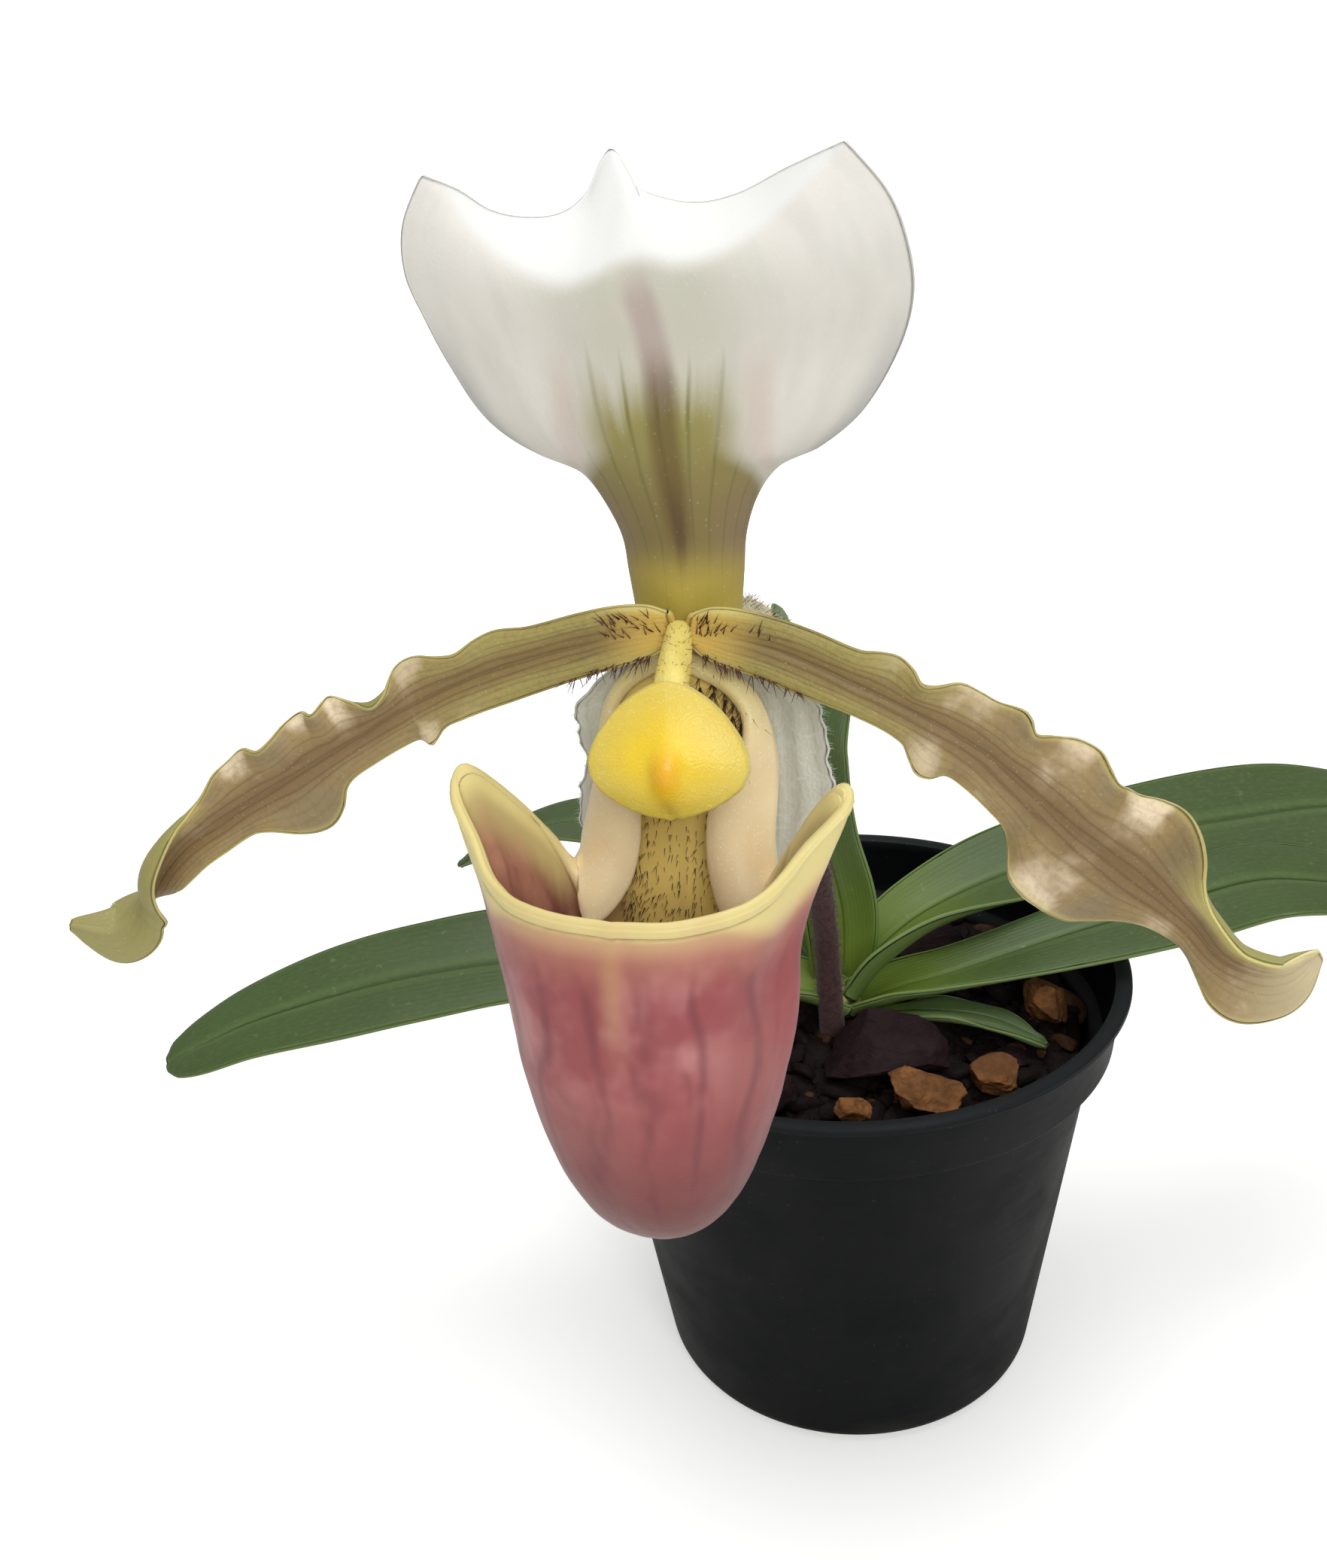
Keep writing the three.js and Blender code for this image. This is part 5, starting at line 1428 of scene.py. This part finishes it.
class ORCHID_OT_scape(bpy.types.Operator):
    """Builds the flower stem, the ovary and the bract, with their down"""
    bl_idname = "orchid.scape"
    bl_label = "Scape and ovary"

    def execute(self, context):
        sizes, tint_of = context.scene.orchid_sizes, colours()
        random = np.random.default_rng(21)
        rows = [list(row) for row in SCAPE]
        rows[-1][1:4] = in_flower([OVARY[0][1:4]])[0]
        skin = stem_material("scape_skin", tint_of["scape"], srgb(44, 26, 30))
        stem, points, ring = tube("scape_stem", rows, 24, 160, skin)
        settle(stem, "stem_skin", "scape")
        self.down("scape_down", "stem_skin", points, ring, 3600, (0.5, 0.9), 0.024, (0.08, 1.0),
                  srgb(98, 68, 72), random)

        def ribs(t, angle):
            return 1 + 0.05 * np.cos(6 * angle) * np.sin(math.pi * t)
        skin = stem_material("ovary_skin", tint_of["ovary"], srgb(150, 130, 88), 1100.0)
        ovary, points, ring = tube("ovary_body", OVARY, 36, 90, skin, place=in_flower, bumps=ribs)
        settle(ovary, "ovary_skin", "ovary")
        for name, count, lengths, radius, colour in (
                ("ovary_down", 2600, (0.4, 0.8), 0.02, srgb(226, 216, 186)),
                ("ovary_dark_hairs", 420, (0.6, 1.1), 0.03, srgb(72, 44, 42))):
            self.down(name, "ovary_skin", points, ring, count, lengths, radius, (0.0, 0.97), colour,
                      random)
        look = leaf_material("bract_skin", tint_of["bract"], tint_of["young_leaf"], 0.4)
        grid = in_flower(blade_grid(BRACT, (0, -0.6, -0.8), 33, 60))
        settle(sheet("bract_blade", grid, sizes.bract_thickness / MM, look), "bract_green", "bract")
        count = 700
        s = random.uniform(-1, 1, count)
        t = random.uniform(0, 0.7, count)
        spots, normals = on_grid(grid, s, t)
        flip = np.where(random.uniform(size=count) < 0.8, -1, 1)[:, None]
        hairs("bract_down", "bract_green", spots + flip * normals * 0.2, normals * flip,
              random.uniform(0.25, 0.5, count), 0.02,
              hair_material("bract_hair", srgb(190, 190, 150)), seed=31)
        return {"FINISHED"}

    def down(self, name, slot, points, ring, count, lengths, radius, span, colour, random):
        """Short hairs all round a stem, over a span of its length."""
        low, high = (int(share * (len(points) - 1)) for share in span)
        j = random.integers(low, high, count)
        i = random.integers(0, points.shape[1], count)
        mix = random.uniform(size=(count, 1))
        roots = points[j, i] * (1 - mix) + points[j + 1, (i + 1) % points.shape[1]] * mix
        out = unit(ring[j, i] + random.normal(size=(count, 3)) * 0.35)
        hairs(name, slot, roots, out, random.uniform(*lengths, count), radius,
              hair_material(f"{name}_hair", colour), seed=5)


def petal_shape(margins, hand, curl):
    """Wavy margins: hand is 1 where the upper margin is the plus side.

    curl rows give how far the upper margin rolls over towards the viewer, against the place.
    """
    def shape(s, t, wide):
        lift = np.zeros_like(wide)
        for edge, rows in margins.items():
            side = hand if edge == "upper" else -hand
            reach = np.clip(s * side, 0, 1)
            margin = along(rows, t[0])
            wide = wide + (margin[:, 0] - wide) * reach ** 1.6
            lift = lift + margin[:, 1] * reach ** 2.2
        groove = -0.12 * np.exp(-(np.abs(s) / 0.14) ** 2) * eased(t, 0.02, 0.1)
        return wide, lift + groove, along(curl, t[0])[:, 0] * (s * hand > 0)
    return shape


def petal_grid(side_name):
    """The midsurface of a petal, 1 or -1 for its upper side, and how far each place faces up."""
    rows, hand, margins, curl = {
        "left": (PETAL_LEFT, 1, MARGIN_LEFT, CURL_LEFT),
        "right": (PETAL_RIGHT, -1, MARGIN_RIGHT, CURL_RIGHT)}[side_name]
    grid = blade_grid(rows, (0, 0, hand), PETAL_COLUMNS, PETAL_ROWS, petal_shape(margins, hand, curl))
    s, t = np.linspace(-1, 1, PETAL_COLUMNS)[:, None], np.linspace(0, 1, PETAL_ROWS)
    tilt = sum(sign * along(margins[edge], t)[:, 1] * np.clip(s * side, 0, 1) ** 1.5
               for edge, side, sign in (("upper", hand, -1), ("lower", -hand, 1)))
    return in_flower(grid), hand, tilt


class ORCHID_OT_petals(bpy.types.Operator):
    """Builds the two petals and the dark hairs at their bases"""
    bl_idname = "orchid.petals"
    bl_label = "Petals"

    def execute(self, context):
        sizes, tint_of = context.scene.orchid_sizes, colours()
        skin = petal_material(tint_of)
        dark = hair_material("petal_hair", srgb(86, 38, 48))
        for side_name, start, strength in (("left", 0.66, 0.35), ("right", 0.70, 0.85)):
            name = f"petal_{side_name}"
            grid, hand, tilt = petal_grid(side_name)
            s = np.linspace(-1, 1, len(grid))[:, None]
            t = np.linspace(0, 1, grid.shape[1])[None]
            yellow = strength * eased(t, start, start + 0.08) * eased(s * hand, 0.3, 0.8)
            # raised is how far each place faces up, which the petal skin turns into painted highlight and
            # shade
            marks = {"raised": np.clip(0.5 + 0.6 * tilt, 0, 1), "yellowing": yellow}
            piece = sheet(f"{name}_blade", grid, sizes.petal_thickness / MM, skin, marks=marks,
                          thin_edge=0.3)
            settle(piece, "petal_skin", name)
            self.tufts(name, grid, hand, dark)
        return {"FINISHED"}

    def tufts(self, name, grid, hand, dark):
        """Long hairs on the face near the base, and a fringe on the lower margin."""
        random = np.random.default_rng(41 + hand)
        for kind, patches, lean, spread, lengths, radius, seed, bend in (
                ("face_hairs", FACE_TUFTS[hand], (-0.35, -0.75, 0.7), 0.16, (0.9, 1.5), 0.055,
                 60, 0.25),
                ("fringe", FRINGE_TUFTS[hand], (-0.25, -0.75, -0.55), 0.3, (0.9, 1.6), 0.05,
                 70, 0.4)):
            s, t = self.scattered(random, patches)
            spots, normals = on_grid(grid, hand * s, t)
            lean = flower_way([lean[0] * hand, *lean[1:]])
            towards = unit(lean + random.normal(size=(len(s), 3)) * spread)
            if kind == "face_hairs":
                face = np.sign(normals @ flower_way([0, -1, 0]))
                spots = spots + normals * face[:, None] * 0.3
            hairs(f"{name}_{kind}", "petal_skin", spots, towards, random.uniform(*lengths, len(s)),
                  radius, dark, seed=seed + hand, bend=bend, rings=4)

    def scattered(self, random, patches):
        """Random places in patches: how many, then from and to across, and from and to along."""
        s = [random.uniform(low, high, count) for count, low, high, _, _ in patches]
        t = [random.uniform(low, high, count) for count, _, _, low, high in patches]
        return np.concatenate(s), np.concatenate(t)


def dorsal_grid(across, lengthwise):
    """The top sepal's midsurface, and 1 where its margin has turned back."""
    s = np.linspace(-1, 1, across)[:, None]
    t = np.linspace(0, 1, lengthwise)
    x, y, z, left, right, roll = (along(DORSAL, t)[None, :, k] for k in range(6))
    wide = np.where(s < 0, left, right)
    reach = np.abs(s)
    sideways = x + np.sign(s) * wide * np.sin(roll * reach) / roll
    behind = y + wide * (1 - np.cos(roll * reach)) / roll
    dip = along(DORSAL_DIP, s[:, 0])
    high = z + dip * np.maximum((t[None] - DORSAL_TOP) / (1 - DORSAL_TOP), 0) ** 1.3
    lowest, highest = DORSAL_CREST[0][0], DORSAL_CREST[-1][0]
    crest = along(DORSAL_CREST, np.clip(sideways, lowest, highest))[..., 0]
    above = high - crest
    turned = np.where(above < -6, 0, (above + np.sqrt(above ** 2 + 1)) / 2)
    shoulder = np.clip((np.abs(sideways - DORSAL_SHOULDER_MIDDLE) - DORSAL_SHOULDER) / 2, 0, 1)
    behind = behind + DORSAL_RECURVE * turned * (1 - shoulder)
    return in_flower(np.stack([sideways, behind, high], -1)), eased(above, -0.5, 0.7) * (1 - shoulder)


class ORCHID_OT_dorsal_sepal(bpy.types.Operator):
    """Builds the broad white sepal at the top"""
    bl_idname = "orchid.dorsal_sepal"
    bl_label = "Dorsal sepal"

    def execute(self, context):
        grid, turned = dorsal_grid(161, 150)
        thickness = context.scene.orchid_sizes.dorsal_thickness / MM
        # The turned mark also sets where the sepal's skin is painted whiter as a highlight
        piece = sheet("dorsal_sepal_blade", grid, thickness, dorsal_material(colours()),
                      marks={"turned": turned})
        settle(piece, "white_sepal", "dorsal_sepal")
        return {"FINISHED"}


class ORCHID_OT_synsepal(bpy.types.Operator):
    """Builds the lower sepals, grown together behind the lip"""
    bl_idname = "orchid.synsepal"
    bl_label = "Lower sepals"

    def execute(self, context):
        def shape(s, t, wide):
            reach = np.abs(s)
            wave = 0.10 * np.sin(47 * t + np.sign(s)) + 0.07 * np.sin(101 * t + 2 * np.sign(s))
            pleat = 0.08 * np.cos(2 * math.pi * 4.5 * s) * eased(t, 0.95, 0.5)
            return wide + wave * reach ** 6, pleat + 0.3 * np.sin(7 * t + 2 * s) * reach ** 2, 0
        grid = in_flower(blade_grid(SYNSEPAL, (1, 0, 0), 101, 110, shape))
        thickness = context.scene.orchid_sizes.synsepal_thickness / MM
        piece = sheet("synsepal_blade", grid, thickness, synsepal_material(colours()))
        settle(piece, "lower_sepal", "synsepal")
        random = np.random.default_rng(81)
        count = 420
        s = np.where(random.uniform(size=count) < 0.5, -1, 1) * random.uniform(0.985, 1, count)
        t = random.uniform(0.05, 0.98, count)
        spots, _ = on_grid(grid, s, t)
        out = flower_way([1, 0, 0]) * np.sign(s)[:, None]
        towards = unit(out + random.normal(size=(count, 3)) * 0.35 + [0, 0, -0.3])
        hairs("synsepal_fringe", "lower_sepal", spots, towards, random.uniform(0.3, 0.7, count), 0.02,
              hair_material("pale_hair", srgb(214, 214, 200)), seed=82)
        return {"FINISHED"}


def lip_grid():
    """The slipper as columns of points from its toe to its rim or fold, and on over the fold."""
    angle = np.linspace(-180, 180, LIP_COLUMNS, endpoint=False)
    away = np.abs(angle)
    values = along(LIP, away)
    hand = np.where(angle < 0, -1, 1)[:, None]
    tuck = 1 - LIP_LEFT_TUCK * (hand < 0) * eased(away, 134, 154)[:, None]
    flip = np.concatenate([hand * tuck, np.ones_like(tuck), np.ones_like(tuck)], 1)
    fold, margin, bulge = values[:, 0:3] * flip, values[:, 3:6] * flip, values[:, 6:9] * flip
    inward = LIP_RIGHT_RIM * (angle > 0) * eased(away, 10, 50) * eased(away, 93, 78)
    outward = LIP_LEFT_EAR * (angle < 0) * eased(away, 70, 86) * eased(away, 110, 98)
    for block in (fold, margin):
        block[:, 0] -= inward + outward
    crown = (fold + margin) / 2 + bulge
    turn = np.radians(away)
    wide = hand[:, 0] * (LIP_HALF_WIDTH - LIP_RIGHT_FLANK * (angle > 0)) * np.sin(turn)
    deep = LIP_MIDDLE - np.where(np.cos(turn) > 0, LIP_FRONT_REACH, LIP_BACK_REACH) * np.cos(turn)
    heel = np.array([0, LIP_HEEL, -LIP_DEPTH])
    bottom = np.full_like(wide, -LIP_DEPTH)
    low = np.stack([LIP_LOW_SHARE * wide, LIP_HEEL + LIP_LOW_SHARE * (deep - LIP_HEEL), bottom], -1)
    middle = np.stack([LIP_HALF_WAY_SHARE * wide, deep, LIP_HALF_WAY_DEPTH * bottom], -1)
    u = np.linspace(0, 1, LIP_ROWS)[None, :, None]
    body = ((1 - u) ** 3 * heel + 3 * (1 - u) ** 2 * u * low[:, None]
            + 3 * (1 - u) * u ** 2 * middle[:, None] + u ** 3 * fold[:, None])
    nip = np.where(angle > 0, LIP_NIP["right"], LIP_NIP["left"])
    nip = nip * eased(away, 40, 78) * eased(away, 130, 108)
    level, spread = LIP_NIP_PLACE
    body[..., 0] -= (hand[:, 0] * nip)[:, None] * np.exp(-((u[..., 0] - level) / spread) ** 2)
    w = np.linspace(0, 1, LAPEL_ROWS)[None, 1:, None]
    turned = ((1 - w) ** 2 * fold[:, None] + 2 * (1 - w) * w * crown[:, None]
              + w ** 2 * margin[:, None])
    return in_lip(np.concatenate([body, turned], 1)), angle


class ORCHID_OT_lip(bpy.types.Operator):
    """Builds the slipper with its ears, turned-in margins and inner hairs"""
    bl_idname = "orchid.lip"
    bl_label = "Lip"

    def execute(self, context):
        grid, angle = lip_grid()
        turned = np.concatenate([np.zeros(LIP_ROWS), np.linspace(0, 1, LAPEL_ROWS)[1:]])[None]
        level = np.concatenate([np.linspace(0, 1, LIP_ROWS), np.ones(LAPEL_ROWS - 1)])[None]
        away = np.abs(angle)[:, None]
        flat = 0 * away * level
        lapel = np.maximum(
            eased(turned, 0.0, 0.35) * eased(away, 108, 122),
            eased(level, 0.9, 1.0) * eased(away, 112, 124) * eased(away, 176, 160))
        marks = {"rise": level + flat, "lapel": lapel, "wall": eased(away, 118, 140) + flat,
                 "ear": eased(away, 40, 85) * eased(away, 118, 104) + flat,
                 "crown": eased(away, 156, 172) + flat}
        u = (angle / 360 + 0.5)[:, None] + flat
        v = np.linspace(0, 1, grid.shape[1])[None] + flat
        piece = sheet("lip_slipper", grid, context.scene.orchid_sizes.lip_thickness / MM,
                      lip_material(colours()), ring=True, pole=True, uv=np.stack([u, v], -1),
                      marks=marks, relief=0.10 * lumpy(grid, 0.45, 3) * eased(level, 0.02, 0.1),
                      thin_edge=0.7)
        settle(piece, "lip_skin", "lip")
        self.inner_hairs(grid)
        return {"FINISHED"}

    def inner_hairs(self, grid):
        """Short hairs down the back wall, and a crescent of long ones beside the column."""
        random = np.random.default_rng(91)
        dark = hair_material("lip_hair", srgb(70, 42, 34))
        normals = grid_normals(grid, ring=True)
        down, forward = (flower_way(way @ turn_z(LIP_YAW).T) for way in np.array([[0, 0, -1.0],
                                                                                  [0, -1.0, 0]]))
        for name, count, turns, levels, lean, lengths, radius, bend in LIP_HAIRS:
            place = random.uniform(*turns, count)
            column = np.round((place / 360 + 0.5) * LIP_COLUMNS).astype(int) % LIP_COLUMNS
            row = (LIP_ROWS * random.uniform(*levels, count)).astype(int)
            jitter = random.uniform(-0.12, 0.12, (count, 3))
            roots = grid[column, row] - normals[column, row] * 0.38 + jitter
            towards = unit(down + forward * lean + random.normal(size=(count, 3)) * 0.26)
            hairs(name, "lip_skin", roots, towards, random.uniform(*lengths, count), radius, dark,
                  seed=92, bend=bend, rings=4)


class ORCHID_OT_column(bpy.types.Operator):
    """Builds the column, its shield, the stigma and the anthers"""
    bl_idname = "orchid.column"
    bl_label = "Column"

    def execute(self, context):
        tint_of = colours()
        self.shield(tint_of)

        def swell(t, angle):
            return 1 + 0.06 * np.sin(3 * angle + 5 * t)
        body, points, ring = tube("column_body", COLUMN, 40, 60,
                                  column_material("column_skin", tint_of["column"]),
                                  place=in_flower, bumps=swell)
        settle(body, "column_yellow", "column")
        random = np.random.default_rng(51)
        count = 110
        j = random.integers(6, 56, count)
        i = random.integers(0, 40, count)
        out = unit(ring[j, i] + random.normal(size=(count, 3)) * 0.5)
        hairs("column_hairs", "column_yellow", points[j, i], out, random.uniform(0.25, 0.5, count),
              0.022, hair_material("column_hair", srgb(128, 84, 46)), seed=52)
        cream = column_material("stigma_skin", srgb(232, 222, 168))
        amber = column_material("anther_skin", srgb(214, 160, 72))
        ball, faces = rounded_ball(4)
        bumpy = ball * (1 + 0.05 * lumpy(ball, 4.0, 9))[:, None]
        for name, centre, radii in BEADS:
            stigma = name == "stigma"
            bead = mesh_piece(f"{name}_bead", in_flower(bumpy * radii + centre), faces,
                              cream if stigma else amber)
            settle(bead, "stigma_cream" if stigma else "anther_tan", name)
        return {"FINISHED"}

    def shield(self, tint_of):
        columns, rows = 120, 46
        angle = np.linspace(-180, 180, columns, endpoint=False)
        turn = np.radians(angle)[:, None]
        reach = along(STAMINODE, np.abs(angle))
        u = np.linspace(0, 1, rows)[None]
        x, z = reach * u * np.sin(turn), reach * u * np.cos(turn)
        ragged = 0.008 * np.sin(turn * 27) * u ** 8 * eased(-z, -1.0, 1.5)
        tip = -0.22 * np.exp(-(x / 0.32) ** 2) * eased(-z, 3.0, 3.6)
        boss = np.exp(-((x - 0.2) / 0.8) ** 2 - ((z + 0.6) / 1.5) ** 2)
        y = -STAMINODE_DOME * (1 - u ** 2.2) - 0.75 * boss - 0.3 * np.abs(x) / 5 * u ** 2
        y = y + 0.35 * np.exp(-(x / 0.6) ** 2) * eased(-z, 1.8, 3.4)
        grid = np.stack([x * (1 + ragged), y, z * (1 + ragged) + tip], -1)
        grid = grid @ turn_x(STAMINODE_TILT).T + np.array(STAMINODE_CENTRE)
        piece = sheet("staminode_shield", in_flower(grid), STAMINODE_THICKNESS,
                      staminode_material(tint_of), ring=True, pole=True,
                      uv=np.stack([x / 12 + 0.5, z / 12 + 0.5], -1),
                      marks={"reach": u + 0 * x, "boss": boss ** 1.5}, thin_edge=0.35)
        settle(piece, "column_yellow", "staminode")


class ORCHID_OT_stage(bpy.types.Operator):
    """Builds the backdrop, the lights and the camera"""
    bl_idname = "orchid.stage"
    bl_label = "Stage"

    def execute(self, context):
        scene = context.scene
        radius, sides = scene.orchid_sizes.backdrop_radius / MM, 96
        profile = [(5.0, 0.0), (radius * 0.5, 0.0), (radius, 0.0)]
        profile += [(radius + BACKDROP_CURVE * math.sin(a), BACKDROP_CURVE * (1 - math.cos(a)))
                    for a in np.linspace(0.1, math.pi / 2, 14)]
        profile.append((radius + BACKDROP_CURVE, BACKDROP_TOP))
        floor = mesh_piece("backdrop", spun(profile, sides).reshape(-1, 3),
                           ring_faces(len(profile), sides, flipped=True, ends=(0,)),
                           floor_material(colours()))
        scene.world = bpy.data.worlds.new("studio_air")
        scene.world.use_nodes = True
        air = scene.world.node_tree.nodes["Background"].inputs
        air["Color"].default_value = (1, 1, 1, 1)
        air["Strength"].default_value = AIR_LIGHT
        for lamp in LAMPS:
            self.lamp(scene, *lamp)
        self.camera(scene)
        scene.view_settings.view_transform = "Standard"
        scene.view_settings.look = "None"
        return {"FINISHED"}

    def lamp(self, scene, name, place, target, power):
        light = bpy.data.lights.new(name, "AREA")
        light.shape = "DISK"
        light.size = LAMP_SIZE
        light.energy = power
        lamp = bpy.data.objects.new(name, light)
        scene.collection.objects.link(lamp)
        lamp.location = place
        aim = Vector(target) - Vector(place)
        lamp.rotation_euler = aim.to_track_quat("-Z", "Y").to_euler()

    def camera(self, scene):
        down, roll = math.radians(CAMERA_DOWN), math.radians(CAMERA_ROLL)
        forward = np.array([0, math.cos(down), -math.sin(down)])
        right, up = np.array([1.0, 0, 0]), np.array([0, math.sin(down), math.cos(down)])
        rolled_right = right * math.cos(roll) + up * math.sin(roll)
        rolled_up = up * math.cos(roll) - right * math.sin(roll)
        view = bpy.data.cameras.new("photo_view")
        view.sensor_fit = "AUTO"
        view.sensor_width = SENSOR
        view.lens = SENSOR * FOCAL_PIXELS / PICTURE_HEIGHT
        view.clip_start = 0.005
        view.clip_end = 20.0
        camera = bpy.data.objects.new("photo_view", view)
        scene.collection.objects.link(camera)
        place = np.eye(4)
        place[:3, 0], place[:3, 1], place[:3, 2] = rolled_right, rolled_up, -forward
        place[:3, 3] = np.array(CAMERA_PLACE) * MM
        camera.matrix_world = Matrix(place.tolist())
        scene.camera = camera


class ORCHID_PT_sidebar(bpy.types.Panel):
    """Lists the orchid's sizes, colours and pieces"""
    bl_label = "Slipper orchid"
    bl_idname = "ORCHID_PT_sidebar"
    bl_space_type = "VIEW_3D"
    bl_region_type = "UI"
    bl_category = "Orchid"

    def draw(self, context):
        layout = self.layout
        for settings in (context.scene.orchid_sizes, context.scene.orchid_colours):
            for key in settings.__class__.__annotations__:
                layout.prop(settings, key)
        for operator in PIECES:
            layout.operator(operator.bl_idname)


PIECES = (
    ORCHID_OT_stage, ORCHID_OT_nursery_pot, ORCHID_OT_potting_mix, ORCHID_OT_bark_chips,
    ORCHID_OT_leaves, ORCHID_OT_scape, ORCHID_OT_synsepal, ORCHID_OT_dorsal_sepal,
    ORCHID_OT_petals, ORCHID_OT_lip, ORCHID_OT_column,
)
CLASSES = (OrchidSizes, OrchidColours, *PIECES, ORCHID_PT_sidebar)


def register():
    for item in CLASSES:
        bpy.utils.register_class(item)
    bpy.types.Scene.orchid_sizes = PointerProperty(type=OrchidSizes)
    bpy.types.Scene.orchid_colours = PointerProperty(type=OrchidColours)


def unregister():
    del bpy.types.Scene.orchid_colours
    del bpy.types.Scene.orchid_sizes
    for item in reversed(CLASSES):
        bpy.utils.unregister_class(item)


def main():
    register()
    for operator in PIECES:
        group, name = operator.bl_idname.split(".")
        getattr(getattr(bpy.ops, group), name)()
    bpy.context.view_layer.update()


if __name__ == "__main__":
    main()
